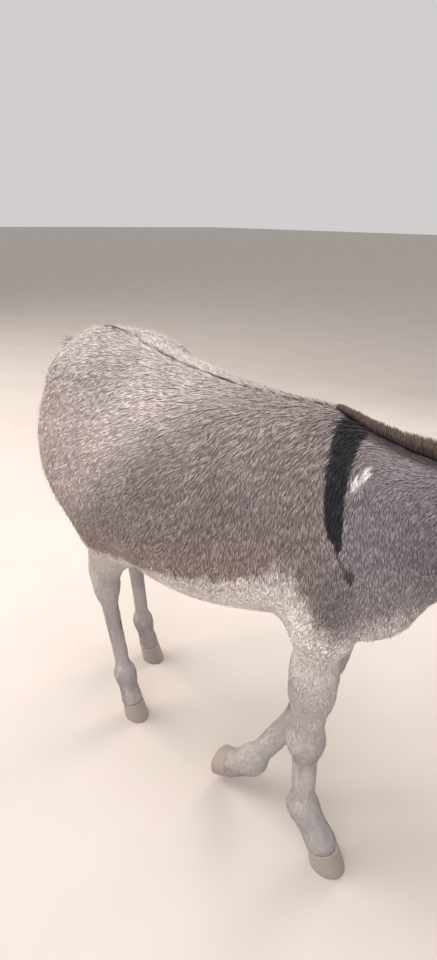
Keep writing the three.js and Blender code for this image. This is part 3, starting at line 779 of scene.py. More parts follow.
# Side view of the line where grey meets the pale belly and legs: x and height.
PALE_LINE = np.array([
    (-0.9, 0.64), (-0.8, 0.64), (-0.7, 0.615), (-0.6, 0.59), (-0.5, 0.578), (-0.4, 0.59),
    (-0.32, 0.622), (-0.25, 0.65), (-0.18, 0.67), (-0.12, 0.686), (-0.08, 0.701), (-0.048, 0.718),
    (-0.015, 0.738), (0.01, 0.75), (0.03, 0.742), (0.055, 0.705), (0.08, 0.668), (0.105, 0.65),
    (0.13, 0.658), (0.16, 0.7), (0.2, 0.736), (0.24, 0.757), (0.3, 0.769), (1.0, 0.4),
])
# The cross stripe over the withers: height, middle's x, half width.
CROSS = np.array([
    (0.784, 0.125, 0.0), (0.79, 0.121, 0.0012), (0.812, 0.104, 0.0018), (0.822, 0.099, 0.006),
    (0.835, 0.091, 0.0125), (0.85, 0.084, 0.016), (0.88, 0.073, 0.0165), (0.912, 0.063, 0.0165),
    (0.938, 0.055, 0.0172), (0.962, 0.047, 0.0205), (0.985, 0.034, 0.022), (1.01, 0.026, 0.022),
])


@dataclass(frozen=True)
class Fleck:
    """A small mark in the coat: its place, radius, stretch along the vertical, and colour."""

    place: Vec
    radius: float
    stretch: float
    colour: str


FLECKS = (
    Fleck((0.097, -0.077, 0.925), 0.0062, 1.7, COAT.fleck),
    Fleck((0.091, -0.089, 0.912), 0.006, 1.9, COAT.fleck),
    Fleck((0.127, -0.136, 0.786), 0.0085, 1.3, COAT.spot),
)


def paint(colour: Array, code: str, share: Array) -> Array:
    """Lays a hex colour over others, by a share for each point."""
    return mix(colour, linear(code), share[:, None])


class Markings:
    """The colour of the animal at any place, shared by skin and coat."""

    def __init__(self) -> None:
        """Prepares the soft patterns that break the edges and mottle the grey."""
        self.mottle = Ripple(3, 0.11)
        self.ragged = Ripple(5, 0.03)
        self.fine = Ripple(7, 0.016)

    def trunk(self, p: Array) -> Array:
        """Grey over the back, browner towards the pale line, cooler on the shoulder."""
        x, y, z = p.T
        # The croup's paler grey goes on the top of the back and rump: partly its own colour, partly
        # painted light from above.
        high = ramp(0.84, 1.02, z + 0.3 * ramp(-0.2, -0.62, x))
        breast = 0.7 * ramp(0.86, 0.76, z) * ramp(0.08, 0.2, x) * ramp(0.42, 0.3, x)
        grey = linear(COAT.barrel)
        for code, share in ((COAT.croup, high * ramp(0.04, -0.42, x)),
                            # The haunch's paler grey is partly its own colour and partly painted rim
                            # light from behind.
                            (COAT.haunch, 0.25 * ramp(-0.46, -0.68, x)),
                            (COAT.shoulder, ramp(0.05, 0.13, x)),
                            (COAT.neck, ramp(0.16, 0.28, x + 0.6 * (z - 0.86))),
                            (COAT.breast, breast)):
            grey = paint(grey, code, share)
        line = np.interp(x, PALE_LINE[:, 0], PALE_LINE[:, 1])
        soft = ramp(-0.06, 0.06, x)
        over = z - line + self.ragged(p) * mix(0.005, 0.008, soft)
        brown = ramp(0.125, 0.0, over) * ramp(0.06, -0.04, x) * 0.75
        colour = paint(grey, COAT.border, brown)
        pale = ramp(0.0, 1.0, 0.5 - over / mix(0.026, 0.09, soft))
        inside = (ramp(0.085, 0.05, np.abs(y)) * ramp(0.86, 0.76, z)
                  * ramp(-0.4, -0.52, x))
        # The pale seat is partly the rump's own pale hair and partly painted rim light from behind.
        seat = 0.5 * ramp(-0.66, -0.78, x) * ramp(1.02, 0.86, z)
        under = ramp(0.075, 0.03, np.abs(y)) * ramp(0.66, 0.6, z)
        pale = np.maximum.reduce([pale, inside, seat, under])
        light = paint(linear(COAT.belly), COAT.leg, ramp(0.6, 0.44, z))
        return mix(colour, light, pale[:, None])

    def legs(self, p: Array, colour: Array) -> Array:
        """Smoky shading on knees, hocks and fetlocks of the pale legs."""
        z = p[:, 2]
        smoke = (np.exp(-((z - 0.285) / 0.035) ** 2) + 0.8 * np.exp(-((z - 0.08) / 0.04) ** 2))
        smoke = np.clip(smoke * (0.24 + 0.16 * self.ragged(p)), 0.0, 0.6)
        return paint(colour, COAT.shoulder, smoke * ramp(0.46, 0.42, z))

    def stripes(self, p: Array, colour: Array) -> Array:
        """The cross over the withers, the broken line along the back, and the mane's root."""
        x, y, z = p.T
        middle = np.interp(z, CROSS[:, 0], CROSS[:, 1])
        half = np.interp(z, CROSS[:, 0], CROSS[:, 2])
        edge = half - np.abs(x - middle) + self.fine(p) * 0.0012
        cross = ramp(-0.0012, 0.0022, edge) * (half > 0)
        colour = paint(colour, COAT.stripe, cross)
        width = mix(0.0065, 0.0135, ramp(-0.45, -0.66, x)) * (0.95 + 0.45 * self.ragged(p))
        back = ramp(0.0, 0.004, width - np.abs(y)) * ramp(0.9, 0.96, z)
        back = back * ramp(0.03, -0.02, x) * ramp(-0.9, -0.2, self.fine(p * 0.6))
        colour = paint(colour, COAT.dorsal, 0.92 * back)
        crest = ramp(0.024, 0.014, np.abs(y)) * ramp(0.03, 0.055, x)
        crest = crest * ramp(0.56, 0.52, x) * ramp(0.93, 0.95, z)
        return paint(colour, COAT.mane, 0.85 * crest)

    def face(self, p: Array, colour: Array) -> Array:
        """Pale muzzle and eye rings, dark lips and nostrils."""
        along, up, _ = head_coordinates(p)
        here = ramp(0.4, 0.44, p[:, 0])
        colour = paint(colour, COAT.face, ramp(-0.05, 0.1, along) * here)
        muzzle = ramp(0.275, 0.35, along + self.ragged(p) * 0.01) * here
        colour = paint(colour, COAT.muzzle, muzzle)
        throat = ramp(-0.125, -0.165, up) * here
        colour = paint(colour, COAT.belly, 0.6 * throat)
        for side in Side:
            gap = (p - on_head(EYE_PLACE, side)) @ np.array([HEAD_ALONG, HEAD_UP, HEAD_SIDE]).T
            eye = np.linalg.norm(gap / (1.05, 0.95, 1.0), axis=1) + 0.003 * self.ragged(p)
            ring = ramp(0.05, 0.024, eye) * here
            colour = paint(colour, COAT.muzzle, 0.8 * ring)
            nostril = nostril_cut(side).distance(p)
            colour = paint(colour, COAT.lips, ramp(0.006, 0.001, nostril))
        dark = (mouth_groove(p) / MOUTH_DEPTH) ** 3
        nose = ramp(0.44, 0.47, along) * ramp(-0.035, -0.085, up) * 0.12
        return paint(colour, COAT.lips, np.clip(dark * 0.8 + nose * here, 0, 0.9))

    def tail(self, p: Array, colour: Array) -> Array:
        """The dock darkens towards its hair."""
        behind = ramp(-0.8, -0.825, p[:, 0])
        dark = behind * ramp(0.88, 0.72, p[:, 2] + 0.01 * self.ragged(p))
        colour = paint(colour, COAT.barrel, behind)
        vent = (ramp(0.034, 0.014, np.abs(p[:, 1])) * ramp(-0.75, -0.775, p[:, 0])
                * ramp(0.74, 0.8, p[:, 2]) * (1.0 - behind))
        colour = paint(colour, COAT.lips, 0.6 * vent)
        return paint(colour, COAT.mane, 0.92 * dark)

    def flecks(self, p: Array, colour: Array) -> Array:
        """Two scars and a spot on the right shoulder."""
        for fleck in FLECKS:
            q = (p - np.array(fleck.place)) / np.array([1.0, 6.0, fleck.stretch])
            near = ramp(1.3, 0.8, np.linalg.norm(q, axis=1) / fleck.radius)
            colour = paint(colour, fleck.colour, near)
        return colour

    def __call__(self, p: Array) -> Array:
        """Linear RGB at each point: the trunk's colours with every other marking laid over.

        Args:
            p: places on the skin.

        Returns:
            The colours.
        """
        colour = self.trunk(p)
        for layer in (self.legs, self.stripes, self.face, self.tail, self.flecks):
            colour = layer(p, colour)
        return colour * (1.0 + 0.05 * self.mottle(p) + 0.03 * self.fine(p))[:, None]


# ---- The lie of the coat -----------------------------------------------------------------------
# Strokes of the comb on the right side: a place in millimetres, and the way that the hair points
# there in hundredths. Those of the head are given as along, up and out.
STROKE_UNITS = np.array([1000.0] * 3 + [100.0] * 3)
BODY_STROKES = np.array([
    (-454, -127, 973, -56, -68, -46), (-333, -125, 958, -79, -49, -38),
    (-446, -190, 863, -74, -18, -64), (-228, -144, 930, -56, -59, -58),
    (-323, -211, 823, -63, -15, -77), (-267, -58, 988, -84, -52, -14), (-147, -53, 984, -83, -52, -19),
    (-53, -36, 993, -81, -55, -22), (-137, -113, 946, -24, -72, -60), (-69, -91, 959, -14, -66, -70),
    (-600, -50, 1045, -80, -50, -10), (-700, -60, 1010, -70, -40, -55),
    (-620, -160, 860, -60, -12, -80), (-740, -90, 880, -50, -15, -85), (-550, -190, 700, -45, -2, -90),
    (-680, -130, 700, -20, 0, -98), (-400, -190, 640, -55, 5, -83), (-228, -219, 778, -43, -11, -89),
    (-133, -186, 842, -10, -33, -95), (-78, -149, 885, 5, -44, -89), (-50, -176, 795, 0, -12, -99),
    (10, -130, 874, 11, -33, -94), (43, -141, 821, 16, -19, -97), (3, -80, 959, -32, -66, -68),
    (-150, -190, 660, -25, 20, -95), (-250, -120, 560, -80, 10, -50), (-100, -60, 570, -90, 5, -20),
    (0, -60, 600, -80, 5, -30), (72, -34, 966, -17, -88, -45), (90, -21, 967, -81, -58, -7),
    (128, -27, 956, -97, -22, 4), (85, -86, 919, 32, -46, -83), (107, -111, 870, 34, -36, -87),
    (147, -97, 880, 37, -44, -82), (140, -126, 822, 34, -21, -92), (131, -138, 753, -3, 5, -100),
    (192, -109, 839, 31, -15, -94), (89, -138, 804, 17, -9, -98), (180, -60, 680, -30, 20, -90),
    (120, -30, 620, -50, 20, -80), (250, -50, 940, -70, -50, -50), (260, -80, 850, 5, -15, -98),
    (300, -50, 780, -20, 10, -95), (380, -50, 940, -62, -35, -70), (400, -60, 860, -40, -10, -90),
    (470, -50, 950, -60, -30, -70), (430, -50, 800, -70, 5, -60),
]) / STROKE_UNITS
HEAD_STROKES = np.array([
    (60, 10, 20, 50, 0, 50), (130, 15, 20, 95, 0, 25), (220, 0, 20, 100, 0, 10),
    (330, -15, 20, 100, 0, 5), (425, -35, 20, 90, -40, 20), (462, -66, 12, 10, -95, 30),
    (455, -85, 30, 0, -80, 50), (455, -115, 10, -50, -80, 30), (410, -120, 30, -10, -90, -20),
    (60, -60, 70, -15, -90, 0), (120, -80, 80, 10, -95, 0), (90, -150, 60, -40, -85, 0),
    (200, -70, 70, 60, -75, 0), (190, -130, 60, 10, -95, 0), (280, -70, 55, 75, -60, 0),
    (350, -80, 50, 80, -50, 0), (350, -120, 30, 70, -60, 0), (430, -110, 30, 60, -60, 0),
    (130, -185, 20, 20, -60, -50), (20, -50, 60, -50, -70, 20), (160, -5, 75, 70, 10, 50),
]) / STROKE_UNITS


class Comb:
    """The direction of the hair: strokes weighed by the inverse fourth power of distance."""

    def __init__(self) -> None:
        """Collects the strokes of both sides, the legs and the tail."""
        places: list[Array] = []
        ways: list[Array] = []
        for side in Side:
            mirror = np.array([1.0, -side.value, 1.0])
            for stroke in BODY_STROKES:
                places.append(stroke[:3] * mirror)
                ways.append(stroke[3:] * mirror)
            for stroke in HEAD_STROKES:
                places.append(on_head(stroke[:3], side))
                ways.append(head_direction(stroke[3:], side))
        for name in LEG_JOINTS:
            joints = leg_joints(name)
            for upper, lower in zip(joints, joints[1:]):
                for share in (0.25, 0.6, 0.95):
                    places.append(mix(upper, lower, share))
                    ways.append(unit(lower - upper))
        tail = np.array(TAIL_CURVE)
        for upper, lower in zip(tail, tail[1:]):
            places.append((upper + lower) / 2.0)
            ways.append(unit(lower - upper))
        self.places = np.array(places)
        self.ways = unit(np.array(ways))
        self.sway = (Ripple(11, 0.055), Ripple(12, 0.018))

    def __call__(self, points: Array, normals: Array) -> Array:
        """Unit directions along the surface, turned a little to and fro in patches.

        Args:
            points: places on the skin.
            normals: its normals there.

        Returns:
            The directions.
        """
        gap = ((points[:, None, :] - self.places[None]) ** 2).sum(-1)
        weight = 1.0 / (gap + 0.02 ** 2) ** 2
        way = across(weight @ self.ways, normals)
        turn = 0.16 * self.sway[0](points) + 0.13 * self.sway[1](points)
        return across(way + np.cross(normals, way) * turn[:, None], normals)


# ---- Meshes ------------------------------------------------------------------------------------
def frame_shift() -> Array:
    """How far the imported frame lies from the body's own, from where the right eye is."""
    low, high = (np.array(v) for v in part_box("eye_right"))
    return (low + high) / 2.0 - on_head(EYE_PLACE, Side.RIGHT)


SHIFT = frame_shift()


def place_on_frame(points: Array) -> Array:
    """Points of the body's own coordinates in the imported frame's."""
    return points + SHIFT


@dataclass
class Surface:
    """Points with faces and, for each point, values that the material reads."""

    points: Array
    faces: list[Array]
    values: dict[str, Array] = field(default_factory=dict)

    def joined(self, other: Surface) -> Surface:
        """Both surfaces as one, keeping the values that both have."""
        shift = len(self.points)
        return Surface(
            np.concatenate([self.points, other.points]),
            self.faces + [f + shift for f in other.faces],
            {k: np.concatenate([v, other.values[k]]) for k, v in self.values.items()
             if k in other.values},
        )

    def turned_out(self, centre: Array) -> Surface:
        """The surface with its faces turned away from a centre line or point if they face it."""
        f = self.faces[0]
        a, b, c = (self.points[f[:, i]] for i in range(3))
        normal = np.cross(b - a, c - a)
        if (normal * (a - centre)).sum() < 0:
            return Surface(self.points, [g[:, ::-1] for g in self.faces], self.values)
        return self


def make_piece(name: str, surface: Surface, material: Material,
               nodes: Sequence[str] = (), patches: Array | None = None) -> Piece:
    """Puts a surface into a mesh object that rides on the animal.

    Args:
        name: the piece's name.
        surface: points, faces and values by point.
        material: the finish.
        nodes: the frame's nodes that the piece stands for.
        patches: places on the bake's map, one for each point, if the piece has its own.

    Returns:
        The new object, at the origin.
    """
    mesh = bpy.data.meshes.new(name)
    corners = np.concatenate([f.reshape(-1) for f in surface.faces]).astype(np.int32)
    counts = np.concatenate([np.full(len(f), f.shape[1]) for f in surface.faces])
    starts = np.concatenate([[0], np.cumsum(counts)[:-1]]).astype(np.int32)
    mesh.vertices.add(len(surface.points))
    mesh.vertices.foreach_set("co", place_on_frame(surface.points).astype(np.float32).ravel())
    mesh.loops.add(len(corners))
    mesh.loops.foreach_set("vertex_index", corners)
    mesh.polygons.add(len(counts))
    mesh.polygons.foreach_set("loop_start", starts)
    mesh.update(calc_edges=True)
    mesh.validate()
    mesh.polygons.foreach_set("use_smooth", np.ones(len(counts), bool))
    for key, value in surface.values.items():
        kind, part = "FLOAT", "value"
        if key in ("grain", "lie"):
            kind, part = "FLOAT_VECTOR", "vector"
        elif value.ndim == 2:
            kind, part = "FLOAT_COLOR", "color"
            value = np.concatenate([value, np.ones((len(value), 1))], axis=1)
        layer = mesh.attributes.new(key, kind, "POINT")
        layer.data.foreach_set(part, value.astype(np.float32).ravel())
    if patches is not None:
        uv = mesh.uv_layers.new(name="OFBake")
        uv.data.foreach_set("uv", patches[corners].astype(np.float32).ravel())
    mesh.materials.append(material)
    piece = bpy.data.objects.new(name, mesh)
    bpy.context.scene.collection.objects.link(piece)
    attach(piece, "root")
    if nodes:
        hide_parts(*nodes)
    LOG.info("%s: %d points, %d triangles", name, len(surface.points), int((counts - 2).sum()))
    return piece


def circle(count: int) -> Array:
    """Angles in even steps once round."""
    return np.linspace(0.0, math.tau, count, endpoint=False)


def grid_faces(rows: int, columns: int) -> Array:
    """Quads of a grid of points stored row by row and closed round its columns."""
    r = np.arange(rows - 1)[:, None]
    c = np.arange(columns)[None, :]
    d = (c + 1) % columns
    quads = [r * columns + c, r * columns + d, (r + 1) * columns + d, (r + 1) * columns + c]
    return np.stack(quads, -1).reshape(-1, 4)


def fan_faces(first: int, columns: int, centre: int, reverse: bool) -> Array:
    """Triangles from a ring of points to one centre point.

    Args:
        first: the ring's first point.
        columns: points in the ring.
        centre: the centre's number.
        reverse: whether the triangles face the other way.

    Returns:
        The triangles.
    """
    c = np.arange(columns)
    ring = np.stack([first + c, first + (c + 1) % columns, np.full(columns, centre)], -1)
    return ring[:, ::-1] if reverse else ring


def tube_faces(rows: int, columns: int, first: int, last: int) -> list[Array]:
    """Quads of a tube of rings, with fans to the two points that close its ends."""
    return [grid_faces(rows, columns), fan_faces(0, columns, first, True),
            fan_faces((rows - 1) * columns, columns, last, False)]


def level_surface(values: Array, axes: Sequence[Array]) -> tuple[Array, Array]:
    """The zero level of values on a box grid, as points and quads.

    Each grid cell that the level crosses gets one point, the mean of the crossings on its edges,
    and each crossed grid edge gets a quad through the four cells round it.

    Args:
        values: one value per grid point, negative inside.
        axes: the grid's planes along x, y and z.

    Returns:
        The points and the outward quads.
    """
    inside = values < 0
    corners = [(i, j, k) for i in (0, 1) for j in (0, 1) for k in (0, 1)]
    shape = np.array(values.shape)
    count = sum(
        inside[i:shape[0] - 1 + i, j:shape[1] - 1 + j, k:shape[2] - 1 + k].astype(np.int8)
        for i, j, k in corners
    )
    active = (count > 0) & (count < 8)
    cells = np.argwhere(active)
    number = np.full(active.shape, -1, np.int64)
    number[active] = np.arange(len(cells))
    total = np.zeros((len(cells), 3))
    crossings = np.zeros(len(cells))
    for corner in corners:
        for axis in range(3):
            if corner[axis]:
                continue
            step = np.zeros(3, int)
            step[axis] = 1
            near = cells + np.array(corner)
            far = near + step
            a, b = values[tuple(near.T)], values[tuple(far.T)]
            crossed = (a < 0) != (b < 0)
            t = (a[crossed] / (a[crossed] - b[crossed]))[:, None]
            start = np.stack([axes[i][near[crossed, i]] for i in range(3)], -1)
            end = np.stack([axes[i][far[crossed, i]] for i in range(3)], -1)
            total[crossed] += mix(start, end, t)
            crossings[crossed] += 1
    quads = []
    for axis in range(3):
        u, v = (axis + 1) % 3, (axis + 2) % 3
        low = [slice(None)] * 3
        high = [slice(None)] * 3
        low[axis], high[axis] = slice(0, shape[axis] - 1), slice(1, shape[axis])
        edges = np.argwhere(inside[tuple(low)] != inside[tuple(high)])
        flip = ~inside[tuple(edges.T)]
        ring = []
        for du, dv in ((-1, -1), (0, -1), (0, 0), (-1, 0)):
            cell = edges.copy()
            cell[:, u] += du
            cell[:, v] += dv
            ring.append(number[tuple(cell.T)])
        quad = np.stack(ring, -1)
        quad[flip] = quad[flip][:, ::-1]
        quads.append(quad)
    return total / crossings[:, None], np.concatenate(quads)


def stepped(*stretches: tuple[float, float, float]) -> Array:
    """Grid planes through stretches of (start, end, spacing), each starting where one ends."""
    planes = [np.arange(start, end - spacing / 2, spacing) for start, end, spacing in stretches]
    return np.concatenate(planes + [[stretches[-1][1]]])


# ---- Skin: the body's level surface with ears and eyelids --------------------------------------
class Ear:
    """One ear: a rolled sheet, closed round its rim, thick at the root and thin at the edge."""

    roll = 0.034
    lean = 0.034
    rows, arc = 76, 26

    def __init__(self, side: Side) -> None:
        """Keeps the ear's frame and side."""
        self.side = side
        self.frame = EarFrame.of(side)

    def section(self, s: Array) -> tuple[Array, Array, Array]:
        """Radius of the roll, half of its arc and half of the sheet's thickness at s.

        The radius swells as a sine to the middle and closes as sqrt(1 - s^4) at the tip.
        """
        radius = self.roll * (0.62 + 0.38 * np.sin(math.pi * np.minimum(s / 0.9, 1.0)))
        radius = radius * mix(0.62, 1.0, ramp(0.02, 0.2, s))
        radius = radius * np.sqrt(np.maximum(1.0 - s ** 4, 0.012))
        half_arc = np.radians(mix(125.0, 84.0, ramp(0.0, 0.5, s)))
        half = mix(mix(0.0085, 0.0032, np.clip(s / 0.3, 0, 1)), 0.0016, ramp(0.6, 1.0, s))
        return radius, half_arc, half

    def at(self, s: Array, angle: Array, offset: Array) -> Array:
        """The point at s along the ear, at an angle round the roll, off the sheet's middle.

        Args:
            s: share of the ear's length.
            angle: angle round the roll.
            offset: distance off the sheet's middle.

        Returns:
            The points.
        """
        radius, half_arc, _ = self.section(s)
        f = self.frame
        centre = f.root + f.along * (EAR_LENGTH * s)[..., None] - f.opening * (
            self.lean * s * s)[..., None]
        wave = 0.0016 * np.sin(s * 21.0) * ramp(0.75, 1.0, np.abs(angle) / half_arc)
        r = radius + offset + wave
        return (centre + f.side * (np.sin(angle) * r)[..., None]
                - f.opening * (np.cos(angle) * r)[..., None])

    def surface(self) -> Surface:
        """Outer arc, round rim, inner arc and round rim at each row, closed at both ends."""
        s = np.linspace(0.0, 1.0, self.rows) ** 0.92
        share = np.linspace(-1.0, 1.0, self.arc)
        rim = np.linspace(math.pi / 2, -math.pi / 2, 5)[1:-1]
        turn = np.concatenate([share, np.full(3, 1.0), share[::-1], np.full(3, -1.0)])
        out = np.concatenate([np.ones(self.arc), np.sin(rim), -np.ones(self.arc), -np.sin(rim)])
        past = np.concatenate([np.zeros(self.arc), np.cos(rim), np.zeros(self.arc), -np.cos(rim)])
        rows, columns = np.meshgrid(s, np.arange(len(turn)), indexing="ij")
        radius, half_arc, half = self.section(rows)
        taper = 1.0 - 0.55 * ramp(0.72, 1.0, np.abs(turn[columns]))
        angle = turn[columns] * half_arc + past[columns] * half * taper / radius
        ridge = 0.0007 * np.cos(turn[columns] * half_arc * 9.0) * (out[columns] < 0)
        points = self.at(rows, angle, out[columns] * half * taper + ridge)
        edge = ramp(0.8, 0.97, np.abs(turn[columns]))
        inner = (out[columns] < 0).astype(float)
        count = len(turn)
        flat = points.reshape(-1, 3)
        ends = np.array([flat[:count].mean(0), flat[-count:].mean(0)])
        faces = tube_faces(self.rows, count, len(flat), len(flat) + 1)
        pad = np.zeros(2)
        colour = self.colour(np.append(rows.ravel(), [0.0, 1.0]), np.append(edge.ravel(), pad),
                             np.append(inner.ravel(), pad))
        if self.side is Side.RIGHT:
            faces = [f[:, ::-1] for f in faces]
        return Surface(np.concatenate([flat, ends]), faces, {"marking": colour})

    @staticmethod
    def colour(s: Array, edge: Array, inner: Array) -> Array:
        """Grey-brown behind, pale inside, with a dark rim and tip.

        Args:
            s: share of the ear's length.
            edge: 1 at the rim.
            inner: 1 on the hollow side.

        Returns:
            Linear RGB.
        """
        colour = paint(linear(COAT.ear_back), COAT.ear_inside, inner)
        dark = np.maximum(edge * ramp(0.1, 0.45, s), ramp(0.84, 0.97, s))
        deep = inner * ramp(0.3, 0.08, s) * 0.75
        colour = paint(colour, COAT.ear_rim, 0.9 * dark)
        return paint(colour, COAT.lips, deep)


class EyeFrame:
    """Directions round an eye: out of the head, towards the nose, and up."""

    def __init__(self, side: Side) -> None:
        """Aims the eye out, a little forward, with its long axis tilted along the face."""
        self.side = side
        self.centre = on_head(EYE_PLACE, side)
        self.out = head_direction((0.2, 0.1, 0.97), side)
        self.front = across(head_direction((0.9, 0.42, 0.0), side), self.out)
        self.up = np.cross(self.front, self.out) * side.value

    def ray(self, tilt: Array, turn: Array) -> Array:
        """Unit directions at an angle `tilt` from straight out, turned round from the front."""
        flat = (self.front * np.cos(turn)[..., None] + self.up * np.sin(turn)[..., None])
        return self.out * np.cos(tilt)[..., None] + flat * np.sin(tilt)[..., None]


class Eyelids:
    """Both lids of an eye as one ring: a rim on the eyeball, folds, and a skirt into the skin."""

    around, steps = 80, 24
    power, thickness, blend = 1.65, 0.0022, 0.006
    reach = math.radians(88.0)
    opening = (math.radians(58.0), math.radians(40.0), math.radians(29.0))

    def __init__(self, side: Side) -> None:
        """Keeps the body without eye sockets, whose skin the lids melt into."""
        self.body = make_body(sockets=False)
        self.eye = EyeFrame(side)

    def rim(self, turn: Array) -> Array:
        """The almond's half angle t: |cos / wide|^power + |sin / high|^power = t^-power."""
        wide, upper, lower = self.opening
        high = np.where(np.sin(turn) > 0, upper, lower)
        p = self.power
        return (np.abs(np.cos(turn) / wide) ** p + np.abs(np.sin(turn) / high) ** p) ** (-1.0 / p)

    def skin_reach(self, rays: Array) -> Array:
        """Distance from the eye's centre to the skin along each ray, by halving an interval.

        Args:
            rays: unit directions.

        Returns:
            The distances.
        """
        low, high = np.full(len(rays), 0.0), np.full(len(rays), 0.075)
        for _ in range(18):
            half = (low + high) / 2.0
            inside = self.body.skin(self.eye.centre + rays * half[:, None]) < 0
            low, high = np.where(inside, half, low), np.where(inside, high, half)
        return low

    def radius(self, turn: Array, share: Array) -> tuple[Array, Array]:
        """The lids' surface as rays from the eye's centre and the distance along each.

        The lid's shell lies over the eyeball, with one deep and one shallow crease above the
        upper rim and a shallow one under the lower. It melts into the skin with a smooth
        maximum and dives under the skin at its outer edge.

        Args:
            turn: angle round the eye.
            share: 0 at the rim and 1 at the outer edge.

        Returns:
            The unit rays and the distances.
        """
        rim = self.rim(turn)
        tilt = rim + (self.reach - rim) * share
        rays = self.eye.ray(tilt, turn)
        skin = self.skin_reach(rays.reshape(-1, 3)).reshape(tilt.shape)
        upper = ramp(-0.15, 0.55, np.sin(turn))
        degrees = np.degrees(tilt - rim)
        crease = 0.0022 * upper * np.exp(-((degrees - 15.0) / 3.2) ** 2)
        crease += 0.0009 * upper * np.exp(-((degrees - 25.0) / 3.0) ** 2)
        crease += 0.001 * (1.0 - upper) * np.exp(-((degrees - 14.0) / 4.0) ** 2)
        roll = 0.0012 * np.exp(-((degrees - 7.0) / 5.0) ** 2)
        shell = EYE_RADIUS + self.thickness + 0.0012 * upper + roll
        h = np.maximum(self.blend - np.abs(shell - skin), 0.0) / self.blend
        reach = np.maximum(shell, skin + 0.0004) + h * h * self.blend / 4.0 - crease
        sink = ramp(0.84, 1.0, share)
        return rays, mix(reach, skin - 0.0015, sink)

    def surface(self, markings: Markings) -> Surface:
        """Rings from the wet edge that touches the eyeball outwards."""
        turn = circle(self.around)
        rim = self.rim(turn)
        share = np.linspace(0.0, 1.0, self.steps) ** 1.2
        shares, turns = np.meshgrid(share, turn, indexing="ij")
        rays, reach = self.radius(turns, shares)
        edge_rays = np.stack([self.eye.ray(rim - 0.02, turn), self.eye.ray(rim - 0.035, turn)])
        edge = np.stack([np.full(self.around, EYE_RADIUS - 0.0006),
                         np.full(self.around, EYE_RADIUS + 0.001)])
        rays, reach = np.concatenate([edge_rays, rays]), np.concatenate([edge, reach])
        points = (self.eye.centre + rays * reach[..., None]).reshape(-1, 3)
        wet = np.concatenate([[1.0, 1.0], np.exp(-(share * 4.4) ** 2)])
        colour = paint(markings(points), COAT.ear_rim, 0.94 * np.repeat(wet, self.around))
        made = Surface(points, [grid_faces(len(reach), self.around)], {"marking": colour})
        return made.turned_out(self.eye.centre)


class Skin:
    """The skin of the whole animal, with ears and lids joined to it."""

    x_planes = stepped((-0.92, 0.36, 0.0088), (0.36, 0.7, 0.0044), (0.7, 0.84, 0.0034))
    y_planes = stepped((-0.26, -0.108, 0.0085), (-0.108, 0.108, 0.0045), (0.108, 0.26, 0.0085))
    z_planes = stepped((0.0, 0.56, 0.008), (0.56, 0.74, 0.0042), (0.74, 1.1, 0.0052))

    def __init__(self, body: Body, markings: Markings) -> None:
        """Finds the level surface once, for the mesh and for the coat's roots."""
        self.body = body
        self.markings = markings
        axes = (self.x_planes, self.y_planes, self.z_planes)
        points, self.quads = level_surface(body.on_grid(axes), axes)
        self.points = body.settle(points)

    @staticmethod
    def grain(p: Array) -> Array:
        """Places squeezed to an eighth along the hair, for patterns that streak that way."""
        along = head_coordinates(p)[0]
        face = ramp(-0.02, 0.04, along) * ramp(0.38, 0.45, p[:, 0])
        leg = ramp(0.6, 0.5, p[:, 2])
        grain = np.zeros_like(p)
        for way, share in ((unit((-0.4, 0.0, -0.9)), 1.0 - np.maximum(face, leg)),
                           (np.array([0.0, 0.0, 1.0]), leg), (HEAD_ALONG, face)):
            grain += (p - (p @ way)[:, None] * way * 0.875) * share[:, None]
        return grain

    def build(self, material: Material) -> Piece:
        """Joins body, ears and lids into one mesh."""
        surface = Surface(self.points, [self.quads], {"marking": self.markings(self.points)})
        for side in Side:
            surface = surface.joined(Ear(side).surface())
            surface = surface.joined(Eyelids(side).surface(self.markings))
        surface.values["grain"] = self.grain(surface.points)
        legs = [f"{place}leg_{side}" for place in ("fore", "hind") for side in ("right", "left")]
        nodes = ["trunk", "neck", "head", "tail", "ear_right", "ear_left", *legs]
        return make_piece("skin", surface, material, nodes)


# ---- Coat: overlapping tufts that lie along the skin -------------------------------------------
# One tuft is a long double pyramid: root, a ring of left, right and ridge, and tip.
TUFT_FACES = np.array([(0, 3, 1), (0, 2, 3), (0, 1, 2), (4, 1, 3), (4, 3, 2), (4, 2, 1)])
TUFT_ALONG = np.array([0.0, 0.42, 0.42, 0.42, 1.0])
TUFT_EDGE = np.array([0.0, -1.0, 1.0, 0.0, 0.0])
PATCH = 0.0015     # half the size of a tuft's patch on the bake's map
PATCH_CORNERS = np.array([(0, -1), (-1, 0), (1, 0), (0, 0), (0, 1)]) * PATCH


def shades(rng: np.random.Generator, count: int, extra: Array | float = 0.0) -> Array:
    """Random tones of tufts, from -2 dark to 2 light, over something that they share."""
    return np.clip(rng.normal(0.0, 0.6, count) + extra, -2, 2)


